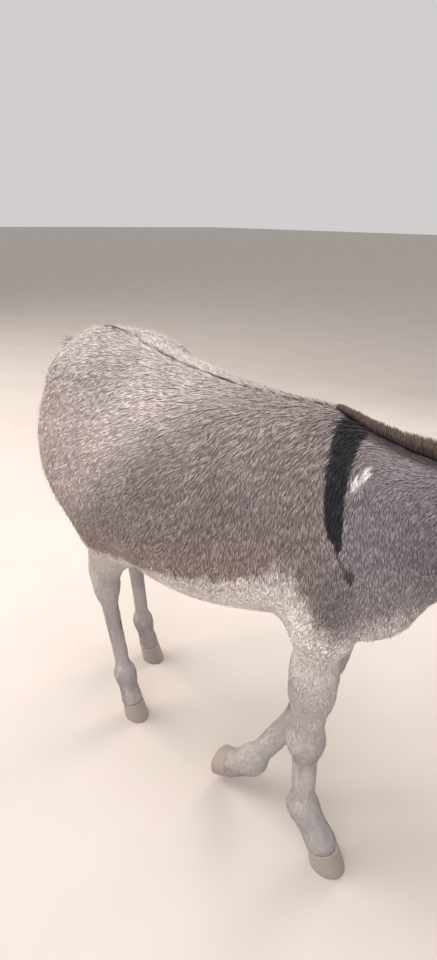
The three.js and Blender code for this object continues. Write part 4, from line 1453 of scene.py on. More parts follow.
@dataclass
class Tufts:
    """Roots of many tufts with everything that shapes them, one row each.

    `ridge` is the height of the middle over the edges as a share of the width, and `bow` is how
    far the soft normals lean out from the middle line.
    """

    roots: Array
    normals: Array
    ways: Array
    length: Array
    width: Array | float
    lift: Array | float
    colour: Array
    shade: Array
    ridge: float = 0.16
    bow: float = 0.36

    def __post_init__(self) -> None:
        """Spreads a single width, lift or colour over every tuft."""
        n = len(self.roots)
        self.width, self.lift = np.broadcast_to(self.width, n), np.broadcast_to(self.lift, n)
        self.colour = np.broadcast_to(self.colour, (n, 3))

    def surface(self, follow: Lookup | None = None) -> Surface:
        """Shapes every tuft.

        The ring and the tip start on the tangent through the root, are brought back to the skin
        by their distance from it, and are then raised to 0.6 and 1 times the lift.

        Args:
            follow: distance from the skin, or None for tufts that stand free.

        Returns:
            Five points and six triangles for each tuft.
        """
        side = np.cross(self.normals, self.ways)
        centres = []
        for share, raised in ((TUFT_ALONG[1], 0.6), (1.0, 1.0)):
            at = self.roots + self.ways * (self.length * share)[:, None]
            gap = np.zeros(len(at)) if follow is None else np.clip(follow(at), -0.012, 0.012)
            centres.append(at + self.normals * (self.lift * raised - gap)[:, None])
        half = side * (self.width / 2.0)[:, None]
        ridge = self.normals * (self.width * self.ridge)[:, None]
        lie = np.stack([self.normals, self.normals + side * self.bow, self.normals - side * self.bow,
                        self.normals, self.normals + self.ways * self.bow * 0.5], axis=1)
        root = self.roots - self.normals * 0.001
        points = np.stack([root, centres[0] + half, centres[0] - half, centres[0] + ridge,
                           centres[1]], axis=1)
        n = len(self.roots)
        faces = TUFT_FACES[None] + 5 * np.arange(n)[:, None, None]
        return Surface(points.reshape(-1, 3), [faces.reshape(-1, 3)], {
            "marking": np.repeat(self.colour, 5, axis=0),
            "along": np.tile(TUFT_ALONG, n),
            "edge": np.tile(TUFT_EDGE, n),
            "shade": np.repeat(self.shade, 5),
            "lie": unit(lie.reshape(-1, 3)),
        })

    def patches(self, unwrap: Lookup) -> Array:
        """Each tuft's points on a small patch at its root's place on the skin's unwrap."""
        at = np.clip(unwrap(self.roots), 2 * PATCH, 1.0 - 2 * PATCH)
        return (at[:, None, :] + PATCH_CORNERS[None]).reshape(-1, 2)


def make_hair(name: str, groups: Sequence[tuple[Tufts, Lookup]], material: Material,
              nodes: Sequence[str] = (), follow: Lookup | None = None) -> Piece:
    """Makes one piece of some groups of tufts.

    Args:
        name: the piece's name.
        groups: tufts, and how their roots unwrap onto the bake's map.
        material: the finish.
        nodes: the frame's nodes that the piece stands for.
        follow: distance from the skin, if the tufts lie on it.

    Returns:
        The new object.
    """
    surface = reduce(Surface.joined, [tufts.surface(follow) for tufts, _ in groups])
    patches = np.concatenate([tufts.patches(unwrap) for tufts, unwrap in groups])
    return make_piece(name, surface, material, nodes, patches)


# Length, width and lift of a tuft in metres, and how many tufts lie over each spot, by region.
BODY_TUFT = np.array([0.027, 0.0026, 0.0034, 2.65])
BELLY_TUFT = np.array([0.02, 0.0021, 0.0009, 2.6])
SHOULDER_TUFT = np.array([0.0185, 0.002, 0.0026, 2.55])
DOCK_TUFT = np.array([0.038, 0.003, 0.0046, 3.3])
LEG_TUFT = np.array([0.0135, 0.0019, 0.0017, 1.45])
FACE_TUFT = np.array([0.0098, 0.0015, 0.0014, 1.45])
MUZZLE_TUFT = np.array([0.0058, 0.0011, 0.0008, 1.2])
NOSE_TUFT = np.array([0.0034, 0.0009, 0.0004, 0.7])
EAR_ROOT_TUFT = np.array([0.019, 0.0018, 0.004, 2.6])


def tuft_sizes(p: Array) -> Array:
    """Length, width, lift and cover at each point, mixed smoothly from region to region.

    Args:
        p: places on the skin.

    Returns:
        Four columns.
    """
    x, _, z = p.T
    along, up, _ = head_coordinates(p)
    front = ramp(0.3, 0.45, x)
    steps = (
        (BELLY_TUFT, ramp(0.03, -0.04, z - np.interp(x, PALE_LINE[:, 0], PALE_LINE[:, 1]))),
        (SHOULDER_TUFT, ramp(0.02, 0.14, x)),
        (DOCK_TUFT, ramp(-0.795, -0.83, x)),
        (LEG_TUFT, ramp(0.62, 0.44, z)),
        (FACE_TUFT, ramp(-0.09, 0.08, along - 0.35 * (up + 0.1)) * front),
        (MUZZLE_TUFT, ramp(0.27, 0.4, along) * front),
        (NOSE_TUFT, ramp(0.425, 0.455, along) * front),
        (EAR_ROOT_TUFT, np.maximum.reduce([
            ramp(0.055, 0.03, np.linalg.norm(p - on_head((0.012, 0.018, 0.046), side), axis=1))
            for side in Side])),
    )
    sizes = np.repeat(BODY_TUFT[None], len(p), 0)
    for target, share in steps:
        sizes = mix(sizes, target, share[:, None])
    return sizes


@dataclass(frozen=True)
class CoatRegion:
    """One piece of the coat: its name, its slot and where it grows and unwraps."""

    name: str
    slot: str
    holds: Lookup
    unwrap: Lookup
    seed: int


def halves(p: Array, low: float, high: float, middle: float) -> Array:
    """Unwraps one side of the trunk: along x, and round from the spine to the belly."""
    turn = np.arctan2(np.abs(p[:, 1]), p[:, 2] - middle)
    return np.stack([(p[:, 0] - low) / (high - low), turn / math.pi], -1)


def round_axis(p: Array, start: Array, end: Array) -> Array:
    """Unwraps a neck or head: along its axis, and round it from under the throat.

    Args:
        p: places.
        start: one end of the axis.
        end: its other end.

    Returns:
        Places on the unwrap.
    """
    axis = unit(end - start)
    q = p - start
    up = across(np.array([0.0, 0.0, 1.0]), axis)
    turn = np.arctan2(q[:, 1], q @ up)
    return np.stack([q @ axis / np.linalg.norm(end - start), turn / math.tau + 0.5], -1)


def pair_of_legs(p: Array, split: float, names: tuple[str, str]) -> Array:
    """Unwraps two legs side by side: height, and round each leg's own line.

    Args:
        p: places.
        split: the height that is 1 on the unwrap.
        names: both legs.

    Returns:
        Places on the unwrap.
    """
    result = np.zeros((len(p), 2))
    for index, name in enumerate(names):
        own = nearest_leg(p) == list(LEG_JOINTS).index(name)
        joints = np.array(leg_joints(name))[::-1]
        at_x = np.interp(p[own, 2], joints[:, 2], joints[:, 0])
        at_y = np.interp(p[own, 2], joints[:, 2], joints[:, 1])
        turn = np.arctan2(p[own, 1] - at_y, p[own, 0] - at_x) / math.tau + 0.5
        result[own] = np.stack([p[own, 2] / split, (index + 0.02 + 0.96 * turn) / 2.0], -1)
    return result


def nearest_leg(p: Array) -> Array:
    """Index of the leg, in the order of LEG_JOINTS, whose bones pass nearest to each point."""
    gaps = []
    for name in LEG_JOINTS:
        joints = leg_joints(name)
        own = []
        for a, b in zip(joints, joints[1:]):
            t = np.clip((p - a) @ (b - a) / ((b - a) @ (b - a)), 0.0, 1.0)
            own.append(np.linalg.norm(p - a - t[:, None] * (b - a), axis=1))
        gaps.append(np.min(own, axis=0))
    return np.argmin(gaps, axis=0)


# Where the pieces of the coat meet, and the lines that they unwrap round.
LEG_TOP = 0.53
NECK_BASE = 0.2
TRUNK_SPANS = (("rump", -0.95, -0.5), ("barrel", -0.5, -0.2), ("girth", -0.2, NECK_BASE))
TRUNK_CORE = 0.78
NECK_AXIS = np.array([(0.16, 0.0, 0.85), (0.56, 0.0, 0.9)])
MOST_TUFTS = 30500     # in one piece


def around_head(p: Array) -> Array:
    """Unwraps the head along its length and round it."""
    return round_axis(p, on_head((-0.06, -0.08, 0.0)), on_head((0.48, -0.08, 0.0)))


def on_face(p: Array) -> Array:
    """True where the head's coat grows, in front of a line behind the cheek."""
    along, up, _ = head_coordinates(p)
    return (p[:, 0] > 0.38) & (along - 0.35 * (up + 0.1) > 0.0)


def on_trunk(p: Array, low: float, high: float, side: Side) -> Array:
    """True on one side of the trunk between two planes across it."""
    return (p[:, 0] >= low) & (p[:, 0] < high) & (p[:, 2] >= LEG_TOP) & (p[:, 1] * side.value > 0)


def on_neck(p: Array) -> Array:
    """True on the neck."""
    return (p[:, 0] >= NECK_BASE) & (p[:, 2] >= LEG_TOP) & ~on_face(p)


def on_legs(p: Array, front: bool) -> Array:
    """True on the front pair or the hind pair of legs."""
    return (p[:, 2] < LEG_TOP) & ((p[:, 0] > -0.32) == front)


def regions() -> list[CoatRegion]:
    """The pieces of the coat, each small enough to stay under the cap of MOST_TUFTS tufts."""
    found = [
        CoatRegion(f"coat_{name}_{side.name.lower()}", "coat_grey",
                   partial(on_trunk, low=low, high=high, side=side),
                   partial(halves, low=low, high=high, middle=TRUNK_CORE),
                   100 + 2 * index + (side is Side.LEFT))
        for index, (name, low, high) in enumerate(TRUNK_SPANS) for side in Side
    ]
    around_neck = partial(round_axis, start=NECK_AXIS[0], end=NECK_AXIS[1])
    found.append(CoatRegion("coat_neck", "coat_grey", on_neck, around_neck, 120))
    found.append(CoatRegion("coat_head", "coat_grey", on_face, around_head, 121))
    for place, front in (("fore", True), ("hind", False)):
        spread = partial(pair_of_legs, split=LEG_TOP + 0.02, names=(f"{place}_right", f"{place}_left"))
        found.append(CoatRegion(f"coat_{place}legs", "coat_pale", partial(on_legs, front=front), spread,
                                130 + front))
    return found


class Coat:
    """Plants tufts on the skin, region by region."""

    near_hoof = 0.07
    guards = 0.08      # share of thin hairs that stand out
    stray, vary = 0.09, 0.24      # spread of the directions, and of lengths and widths

    def __init__(self, skin: Skin, markings: Markings) -> None:
        """Keeps the skin's triangles with their areas and outward normals."""
        self.body = skin.body
        self.markings = markings
        self.comb = Comb()
        self.streak = Ripple(21, 0.02)
        self.tousle = Ripple(22, 0.09)
        quads = skin.quads
        self.triangles = skin.points[np.concatenate([quads[:, :3], quads[:, [0, 2, 3]]])]
        edges = self.triangles[:, 1:] - self.triangles[:, :1]
        self.areas = np.linalg.norm(np.cross(edges[:, 0], edges[:, 1]), axis=1) / 2.0
        self.middles = self.triangles.mean(1)
        order = np.lexsort((self.middles[:, 2] // 0.02, self.middles[:, 0] // 0.02))
        self.triangles, self.areas, self.middles = (
            a[order] for a in (self.triangles, self.areas, self.middles))
        self.bare = self.bare_places(self.middles)

    def bare_places(self, p: Array) -> Array:
        """True where no coat grows: in nostrils, mouth, eye openings, hooves and under the ears."""
        bare = (mouth_groove(p) > 0.15 * MOUTH_DEPTH) | (self.over_crown(p) < 0.001)
        for side in Side:
            bare |= nostril_cut(side).distance(p) < 0.0035
            eye = EyeFrame(side)
            gap = p - eye.centre
            flat = gap - (gap @ eye.out)[:, None] * eye.out
            bare |= (np.linalg.norm(flat, axis=1) < EYE_RADIUS * 1.02) & (gap @ eye.out > 0)
            ear = EarFrame.of(side)
            up = (p - ear.root) @ ear.along
            radial = np.linalg.norm(p - ear.root - up[:, None] * ear.along, axis=1)
            bare |= (up > EAR_SINK - 0.004) & (radial < 0.045)
        return bare

    @staticmethod
    def over_crown(p: Array) -> Array:
        """Height over the top of a hoof that is nearer than `near_hoof`, which it is elsewhere."""
        height = np.full(len(p), Coat.near_hoof)
        for foot, size in feet().values():
            middle, normal = size.crown_plane(foot)
            near = np.linalg.norm(p - middle, axis=1) < Coat.near_hoof
            height = np.where(near, (p - middle) @ normal, height)
        return height

    def roots(self, region: CoatRegion, rng: np.random.Generator) -> Array:
        """Places spread over a region's triangles by area and by the density of its tufts.

        Args:
            region: the piece.
            rng: its random numbers.

        Returns:
            The roots, near the skin.
        """
        sizes = tuft_sizes(self.middles)
        density = sizes[:, 3] / (0.5 * sizes[:, 0] * sizes[:, 1])
        weight = self.areas * density * region.holds(self.middles) * ~self.bare
        total = np.cumsum(weight)
        count = min(int(total[-1]), MOST_TUFTS)
        spots = (np.arange(count) + rng.random(count)) / count * total[-1]
        chosen = np.clip(np.searchsorted(total, spots), 0, len(total) - 1)
        a, b = rng.random((2, count, 1))
        over = a + b > 1.0
        a, b = np.where(over, 1.0 - a, a), np.where(over, 1.0 - b, b)
        t = self.triangles[chosen]
        return t[:, 0] + (t[:, 1] - t[:, 0]) * a + (t[:, 2] - t[:, 0]) * b

    def plant(self, region: CoatRegion) -> Tufts:
        """Roots, directions, sizes and colours of a region's tufts.

        Args:
            region: the piece.

        Returns:
            Its tufts.
        """
        rng = np.random.default_rng(region.seed)
        roots = self.body.settle(self.roots(region, rng), 1)
        normals = self.body.normals(roots)
        n = len(roots)
        length, width, lift, _ = tuft_sizes(roots).T
        ways = self.comb(roots, normals)
        ways = across(ways + rng.normal(0.0, self.stray, (n, 3)), normals)
        vary_length, vary_width = np.exp(rng.normal(0.0, self.vary, (2, n)))
        streak = self.streak(roots)
        calm = mix(0.3, 1.0, ramp(0.0012, 0.0034, lift))
        length = length * vary_length * mix(0.22, 1.0, ramp(0.0, 0.016, self.over_crown(roots)))
        rise = np.clip(0.6 + 0.3 * streak + rng.normal(0.0, 0.2, n), 0.1, 1.2)
        guard = rng.random(n) < self.guards
        rough = mix(0.09, 0.2, ramp(-0.4, -0.68, roots[:, 0]) * ramp(0.55, 0.7, roots[:, 2]))
        lift = np.where(guard, lift * 1.2 + length * rough, lift * rise)
        width = width * vary_width * np.where(guard, 0.35, 1.0)
        shade = rng.normal(0.0, 0.55, n) + 0.55 * streak + 0.35 * self.tousle(roots)
        # Guard hairs are made lighter in tone: a painted highlight, standing in for the light that the
        # fuzz catches at the outline.
        shade = np.clip((shade + 0.9 * guard) * calm, -2, 2)
        colour = self.markings(roots + ways * (length * ramp(0.004, 0.012, length) * 0.5)[:, None])
        return Tufts(roots, normals, ways, length, width, lift, colour, shade)

    def build(self, material: Material) -> list[Piece]:
        """Every region's piece."""
        return [make_hair(region.name, [(self.plant(region), region.unwrap)], material,
                          (), self.body.skin) for region in regions()]


class EarCoat:
    """Short hair behind the ears, a fringe on their rims, and long pale hair inside."""

    count = 4600

    def tufts(self, side: Side, inner: bool, seed: int) -> tuple[Tufts, Array]:
        """Tufts of one face of one ear, and each root's place along and across it.

        Args:
            side: the ear.
            inner: whether they grow in its hollow.
            seed: seed of the random numbers.

        Returns:
            The tufts, and the roots' places on the bake's map.
        """
        rng = np.random.default_rng(seed)
        n = self.count
        ear = Ear(side)
        s = (np.arange(n) + rng.random(n)) / n * 0.93 + 0.03
        turn = rng.uniform(-0.99, 0.99, n)
        _, half_arc, half = ear.section(s)
        taper = 1.0 - 0.55 * ramp(0.72, 1.0, np.abs(turn))
        face = -1.0 if inner else 1.0
        roots = ear.at(s, turn * half_arc, face * half * taper)
        ahead = ear.at(s + 0.004, turn * half_arc, face * half * taper) - roots
        beside = ear.at(s, turn * half_arc + 0.02, face * half * taper) - roots
        normals = unit(np.cross(ahead, beside))
        outwards = roots - ear.at(s, turn * half_arc, -face * half * taper)
        normals = normals * np.sign(np.median((normals * outwards).sum(1)))
        ways = unit(ahead)
        if inner:
            ways = unit(ways + unit(beside) * (np.sign(turn) * np.abs(turn) * 0.5)[:, None])
        ways = across(ways + rng.normal(0.0, 0.12, (n, 3)), normals)
        size = mix(1.0, 0.6, ramp(0.5, 1.0, s)) * np.exp(rng.normal(0.0, 0.2, n))
        fringe = ramp(0.75, 0.95, np.abs(turn))
        length = (0.016 + 0.003 * fringe if inner else 0.013) * size
        lift = (0.002 + 0.001 * fringe if inner else 0.0012) * np.exp(rng.normal(0.0, 0.3, n))
        lift = lift * size
        edge = ramp(0.8, 0.97, np.abs(turn))
        colour = Ear.colour(s, edge, np.full(n, float(inner)))
        made = Tufts(roots, normals, ways, length, 0.0015 * size, lift, colour, shades(rng, n))
        quarter = (side is Side.LEFT) * 2 + inner
        place = np.stack([s, (quarter + 0.04 + 0.92 * (turn + 1) / 2) / 4.0], -1)
        return made, place

    def build(self, material: Material) -> Piece:
        """Both faces of both ears as one piece."""
        groups = []
        for index, (side, inner) in enumerate((s, i) for s in Side for i in (False, True)):
            made, place = self.tufts(side, inner, 200 + index)
            groups.append((made, lambda _, at=place: at))
        return make_hair("coat_ears", groups, material)


ROUND_HAIR = 0.8      # ridge of a single hair, as high as it is wide


class FaceHair:
    """The finest hair: a fuzz on the eyelids, upper lashes, and whiskers on lips and chin."""

    def __init__(self, body: Body, markings: Markings) -> None:
        """Keeps the body and the markings."""
        self.body = body
        self.markings = markings

    def fuzz(self, side: Side, n: int = 1500) -> Tufts:
        """Tiny tufts that run outwards over the lids, and back along the head at the edge.

        Args:
            side: the eye.
            n: how many.

        Returns:
            The tufts.
        """
        rng = np.random.default_rng(500 + side.value)
        lids = Eyelids(side)
        turn = rng.uniform(0.0, math.tau, n)
        share = 0.15 + 0.85 * rng.random(n) ** 0.8
        rays, reach = lids.radius(turn, share)
        ahead_rays, ahead = lids.radius(turn, share + 0.03)
        roots = lids.eye.centre + rays * reach[:, None]
        outwards = unit(lids.eye.centre + ahead_rays * ahead[:, None] - roots)
        normals = across(rays, outwards)
        ways = across(outwards - HEAD_UP * 0.5 + rng.normal(0.0, 0.15, (n, 3)), normals)
        colour = paint(self.markings(roots), COAT.ear_rim, 0.85 * ramp(0.36, 0.14, share))
        size = mix(0.5, 1.0, ramp(0.1, 0.6, share))
        return Tufts(roots, normals, ways, 0.007 * size * np.exp(rng.normal(0.0, 0.2, n)),
                     0.0011 * size, 0.0006 * size, colour, rng.normal(0.0, 0.5, n))

    def lashes(self, side: Side, n: int = 80) -> Tufts:
        """A row of long dark hair on the upper rim that points out and droops forward.

        Args:
            side: the eye.
            n: how many.

        Returns:
            The tufts.
        """
        rng = np.random.default_rng(510 + side.value)
        lids = Eyelids(side)
        turn = np.radians(rng.uniform(22.0, 158.0, n))
        rays, reach = lids.radius(turn, np.full(n, 0.03))
        roots = lids.eye.centre + rays * (reach - 0.0006)[:, None]
        eye = lids.eye
        ways = unit(eye.out * 0.9 + eye.front * (0.25 + 0.5 * np.cos(turn))[:, None]
                    + eye.up * rng.normal(0.05, 0.12, n)[:, None] + rng.normal(0, 0.08, (n, 3)))
        length = mix(0.006, 0.013, np.sin(turn)) * rng.uniform(0.75, 1.1, n)
        return Tufts(roots, across(eye.up, ways), ways, length, 0.0007, -length * 0.18,
                     linear(COAT.ear_rim) * 0.7, rng.normal(0.0, 0.4, n), ROUND_HAIR)

    def whiskers(self, n: int = 90) -> Tufts:
        """Long single hairs round the lips, the chin and the nostrils."""
        rng = np.random.default_rng(520)
        along = rng.uniform(0.395, 0.462, n)
        up = rng.uniform(-0.128, -0.05, n)
        side = np.where(rng.random(n) < 0.5, -1.0, 1.0) * rng.uniform(0.015, 0.045, n)
        roots = POLL + HEAD_ALONG * along[:, None] + HEAD_UP * up[:, None]
        roots = self.body.settle(roots + HEAD_SIDE * side[:, None], 8)
        normals = self.body.normals(roots)
        ways = unit(normals - HEAD_UP * 0.7 + HEAD_ALONG * 0.2 + rng.normal(0, 0.25, (n, 3)))
        length = rng.uniform(0.012, 0.036, n)
        colour = paint(linear(COAT.ear_rim), COAT.muzzle, rng.random(n) * 0.8)
        return Tufts(roots, across(HEAD_UP, ways), ways, length, 0.0005, -length * 0.15, colour,
                     rng.normal(0.0, 0.4, n), ROUND_HAIR)

    def build(self, material: Material) -> Piece:
        """All of it as one piece."""
        groups = [make(side) for side in Side for make in (self.fuzz, self.lashes)]
        groups = [(tufts, around_head) for tufts in (*groups, self.whiskers())]
        return make_hair("coat_face_hair", groups, material)


# ---- Mane and tail -----------------------------------------------------------------------------
def along_crest(p: Array) -> Array:
    """Unwraps the crest of the neck along x and across it."""
    return np.stack([(p[:, 0] + 0.02) / 0.65, p[:, 1] * 12.0 + 0.5], -1)


class Mane:
    """Short upright hair from the withers to the poll, with a small forelock."""

    count, lock_count = 11000, 1200
    back, front = -0.002, 0.548
    height = 0.038
    half_width = 0.0125

    def tufts(self, body: Body) -> Tufts:
        """Thin locks on the crest that stand up and fan slightly apart."""
        rng = np.random.default_rng(300)
        n = self.count
        t = (np.arange(n) + rng.random(n)) / n
        share = rng.uniform(-1.0, 1.0, n)
        x = mix(self.back, self.front, t)
        crest = TRUNK.curves(np.minimum(x, 0.515))[0]
        narrow = np.minimum(1.0, 0.45 + 4.0 * np.minimum(t, 1.0 - t))
        roots = np.stack([x, share * self.half_width * 0.62 * narrow, crest - 0.004], -1)
        roots = body.settle(roots, 3)
        height = (self.height * np.minimum(1.0, 0.16 + 1.9 * t) * np.minimum(1.0, 0.1 + 5.0 * (1 - t)))
        height = height * (1.0 - 0.22 * np.abs(share)) * rng.uniform(0.72, 1.04, n) + 0.006
        clump = Ripple(31, 0.016)(roots)
        ways = unit(np.stack([
            -0.18 + 0.16 * clump + rng.normal(0.0, 0.1, n),
            share * 0.26 + 0.06 * Ripple(32, 0.05)(roots) + rng.normal(0.0, 0.05, n),
            np.ones(n),
        ], -1))
        face = np.stack([rng.normal(0.0, 0.5, n), np.sign(share + 1e-6), np.zeros(n)], -1)
        normals = across(face, ways)
        width = 0.0018 * np.exp(rng.normal(0.0, 0.2, n))
        return Tufts(roots, normals, ways, height, width, 0.0, linear(COAT.mane),
                     shades(rng, n, 0.4 * clump), bow=1.2)

    def forelock(self, body: Body) -> Tufts:
        """Longer locks that fall from between the ears over the forehead."""
        rng = np.random.default_rng(301)
        n = self.lock_count
        along = rng.uniform(-0.02, 0.03, n)
        out = rng.normal(0.0, 0.01, n)
        roots = POLL + HEAD_ALONG * along[:, None] + HEAD_UP * 0.02 + HEAD_SIDE * out[:, None]
        roots = body.settle(roots, 4)
        normals = body.normals(roots)
        ways = across(HEAD_ALONG + HEAD_SIDE * (out * 18.0 + rng.normal(0, 0.15, n))[:, None]
                      + HEAD_UP * 0.15, normals)
        length = rng.uniform(0.03, 0.055, n)
        return Tufts(roots, normals, ways, length, 0.0015, rng.uniform(0.003, 0.01, n),
                     linear(COAT.mane), shades(rng, n))

    def build(self, body: Body, material: Material) -> Piece:
        """Mane and forelock as one piece."""
        mane, lock = self.tufts(body), self.forelock(body)
        surface = mane.surface().joined(lock.surface(body.skin))
        patches = np.concatenate([mane.patches(along_crest), lock.patches(along_crest)])
        return make_piece("mane_hair", surface, material, ["mane"], patches)


class TailHair:
    """Long locks that start round the end of the dock and fall together to a point."""

    count, rings = 1150, 6
    thickness, tip, sway, swell, splay = 0.0017, 0.0005, 0.0045, 0.011, 0.016

    def build(self, material: Material) -> Piece:
        """Each lock is a three-sided taper swept along a bent line that sways and narrows."""
        rng = np.random.default_rng(400)
        n, rings = self.count, self.rings
        curve = np.array(TAIL_CURVE, float)
        t = rng.uniform(0.0, 1.0, n) ** 0.8
        start = mix(mix(curve[2], curve[3], 0.7), curve[4], t[:, None])
        turn = rng.uniform(0.0, math.tau, n)
        spoke = np.stack([np.cos(turn), np.sin(turn), np.zeros(n)], -1)
        depth = np.sqrt(rng.uniform(0.05, 1.0, n))
        root = start + spoke * 0.008
        fall = mix(start[:, 2], TUFT_BOTTOM[2], 1.0 - 0.55 * rng.uniform(0.0, 1.0, n) ** 1.6)
        end = np.stack([np.full(n, TUFT_BOTTOM[0]), np.full(n, TUFT_BOTTOM[1]), fall], -1)
        astray = turn + rng.normal(0.0, 0.7, n)
        splay = np.stack([np.cos(astray), np.sin(astray), np.zeros(n)], -1)
        end = end + splay * (rng.uniform(0.1, 1.0, n) * self.splay)[:, None]
        u = np.linspace(0.0, 1.0, rings + 1)
        line = mix(root[:, None], end[:, None], u[None, :, None])
        swell = np.sin(math.pi * np.minimum(u * 1.25, 1.0)) * self.swell
        line = line + spoke[:, None] * (swell[None] * depth[:, None])[..., None]
        wave = self.sway * u[None] * np.sin(u[None] * rng.uniform(3, 8, (n, 1)) + turn[:, None] * 2.0)
        line[..., 0] += wave
        line[..., 1] += 0.7 * wave * np.cos(turn)[:, None]
        radius = self.thickness * (1.0 - u[:-1] ** 2) + self.tip
        angles = np.arange(3) * math.tau / 3.0
        ring = np.stack([np.cos(angles), np.sin(angles), np.zeros(3)], -1)
        body = line[:, :-1, None] + ring[None, None] * radius[None, :, None, None]
        points = np.concatenate([body.reshape(n, -1, 3), line[:, -1:]], axis=1)
        size = 3 * rings + 1
        one = grid_faces(rings, 3)
        faces = np.concatenate([one[:, [0, 1, 2]], one[:, [0, 2, 3]],
                                fan_faces(3 * (rings - 1), 3, 3 * rings, False),
                                np.array([[2, 1, 0]])])[:, ::-1]
        faces = (faces[None] + size * np.arange(n)[:, None, None]).reshape(-1, 3)
        along = np.concatenate([np.repeat(u[:-1], 3), [1.0]])
        shade = shades(rng, n)
        surface = Surface(points.reshape(-1, 3), [faces], {
            "marking": np.repeat(linear(COAT.mane)[None], n * size, 0),
            "along": np.tile(along * 0.55, n),
            "edge": np.tile(np.concatenate([np.tile([-1.0, 1.0, 0.0], rings), [0.0]]), n),
            "shade": np.repeat(shade, size),
        })
        place = np.stack([t, turn / math.tau], -1)[:, None]
        corner = np.stack([np.concatenate([np.tile([-1.0, 1.0, 0.0], rings), [0.0]]),
                           along * 2.0 - 1.0], -1) * PATCH
        patches = np.clip(place, 0.004, 0.996) + corner[None]
        return make_piece("tail_hair", surface, material, ["tail_tuft"],
                          patches.reshape(-1, 2))


# ---- Eyes and hooves ---------------------------------------------------------------------------
class Eye:
    """An eyeball with a bulging cornea, and its iris and level pupil told to the material."""

    rows, around = 40, 64
    bulge, bulge_angle = 0.045, math.radians(26.0)

    def __init__(self, side: Side) -> None:
        """Keeps the side and the eye's directions."""
        self.side = side
        self.frame = EyeFrame(side)

    def build(self, material: Material) -> Piece:
        """A globe round the gaze, with radius R (1 + bulge exp(-(tilt / bulge_angle)^2))."""
        tilt = np.linspace(0.0, math.pi, self.rows + 2)[1:-1]
        turn = circle(self.around)
        tilts, turns = np.meshgrid(tilt, turn, indexing="ij")
        radius = EYE_RADIUS * (1.0 + self.bulge * np.exp(-(tilts / self.bulge_angle) ** 2))
        points = self.frame.centre + self.frame.ray(tilts, turns) * radius[..., None]
        poles = [self.frame.centre + self.frame.out * EYE_RADIUS * (1.0 + self.bulge),
                 self.frame.centre - self.frame.out * EYE_RADIUS]
        flat = np.concatenate([points.reshape(-1, 3), poles])
        faces = tube_faces(self.rows, self.around, len(flat) - 2, len(flat) - 1)
        gaze = unit(flat - self.frame.centre)
        values = {"across": gaze @ self.frame.front, "above": gaze @ self.frame.up,
                  "outward": gaze @ self.frame.out}
        surface = Surface(flat, faces, values).turned_out(self.frame.centre)
        name = f"eye_{self.side.name.lower()}"
        return make_piece(f"eyeball_{self.side.name.lower()}", surface, material, [name])


class Hoof:
    """One hoof: a wall from the ground to a bevelled crown, over a hollowed sole with a frog."""

    around, levels, rings = 64, 26, 14
    ripple, hollow, frog = 0.00016, 0.005, 0.0042
    worn = 0.035      # how much the ground edge is rounded, as a share

    def __init__(self, name: str, foot: FootFrame, size: HoofSize) -> None:
        """Keeps the hoof's place and size."""
        self.name = name
        self.foot = foot
        self.size = size

    def ring(self, turn: Array, level: Array) -> tuple[Array, Array]:
        """Forward and sideways reach of the wall at a share of the hoof's height.

        Args:
            turn: angle from the toe.
            level: share of the height.

        Returns:
            The two reaches.
        """
        size = self.size
        ahead = np.where(np.cos(turn) > 0, size.toe, size.heel)
        shrink = mix(1.0, size.crown / size.half, np.minimum(level, 1.0))
        drift = -size.height * level * 0.42 / math.tan(PASTERN_ANGLE)
        return np.cos(turn) * ahead * shrink + drift, np.sin(turn) * size.half * shrink

    def top(self, forward: Array) -> Array:
        """Height of the crown, which rises towards the toe."""
        middle = (self.size.height + self.size.heel_height) / 2.0
        return middle + math.tan(CROWN_BEVEL) * forward

    def build(self, material: Material) -> Piece:
        """Rings up the wall, a rounded ground edge, a closed crown, and the sole's disc."""
        turn = circle(self.around)
        share = np.linspace(0.0, 1.0, self.levels)
        turns = np.broadcast_to(turn, (self.levels, self.around))
        crown_forward, _ = self.ring(turns, np.full(turns.shape, 0.85))
        height = share[:, None] * self.top(crown_forward)
        forward, sideways = self.ring(turns, height / self.size.height)
        swell = self.ripple * np.sin(share[:, None] * 46.0 + 0.8 * np.sin(turn * 2.0 + 1.0))
        inset = 1.0 - self.worn * np.exp(-share / self.worn)[:, None] + swell / self.size.half
        wall = np.stack([forward * inset, sideways * inset, height], -1)
        reach = np.linspace(1.0, 0.0, self.rings + 1)[1:-1]
        edge = wall[0]
        sole = edge[None] * np.stack([reach, reach, reach * 0], -1)[:, None]
        across_sole = np.abs(sole[..., 1]) / self.size.half
        behind = ramp(0.5, -0.9, sole[..., 0] / self.size.heel)
        hollow = self.hollow * ramp(0.9, 0.62, reach)[:, None]
        frog = self.frog * behind * ramp(0.34, 0.16, across_sole / (0.35 + behind))
        sole[..., 2] = hollow - np.minimum(frog, hollow)
        crown = wall[-1] * (0.9, 0.9, 1.0) + (0.0, 0.0, 0.0012)
        local = np.concatenate([
            [[0.0, 0.0, sole[-1, :, 2].mean()]], sole[::-1].reshape(-1, 3), wall.reshape(-1, 3),
            crown, [wall[-1].mean(0) + (0.0, 0.0, 0.002)],
        ])
        rows = len(reach) + self.levels + 1
        faces = [f + 1 for f in tube_faces(rows, self.around, -1, len(local) - 2)]
        side = np.cross(self.foot.up, self.foot.toe)
        points = (self.foot.centre + local[:, :1] * self.foot.toe + local[:, 1:2] * side
                  + local[:, 2:] * self.foot.up)
        level = np.clip(local[:, 2] / self.top(local[:, 0]), 0.0, 1.0)
        under = np.zeros(len(local))
        under[:1 + len(reach) * self.around] = 1.0
        surface = Surface(points, faces, {"level": level, "under": under})
        surface = surface.turned_out(self.foot.centre + self.foot.up * 0.02)
        return make_piece(f"horn_{self.name}", surface, material,
                          [f"hoof_{self.name}"])


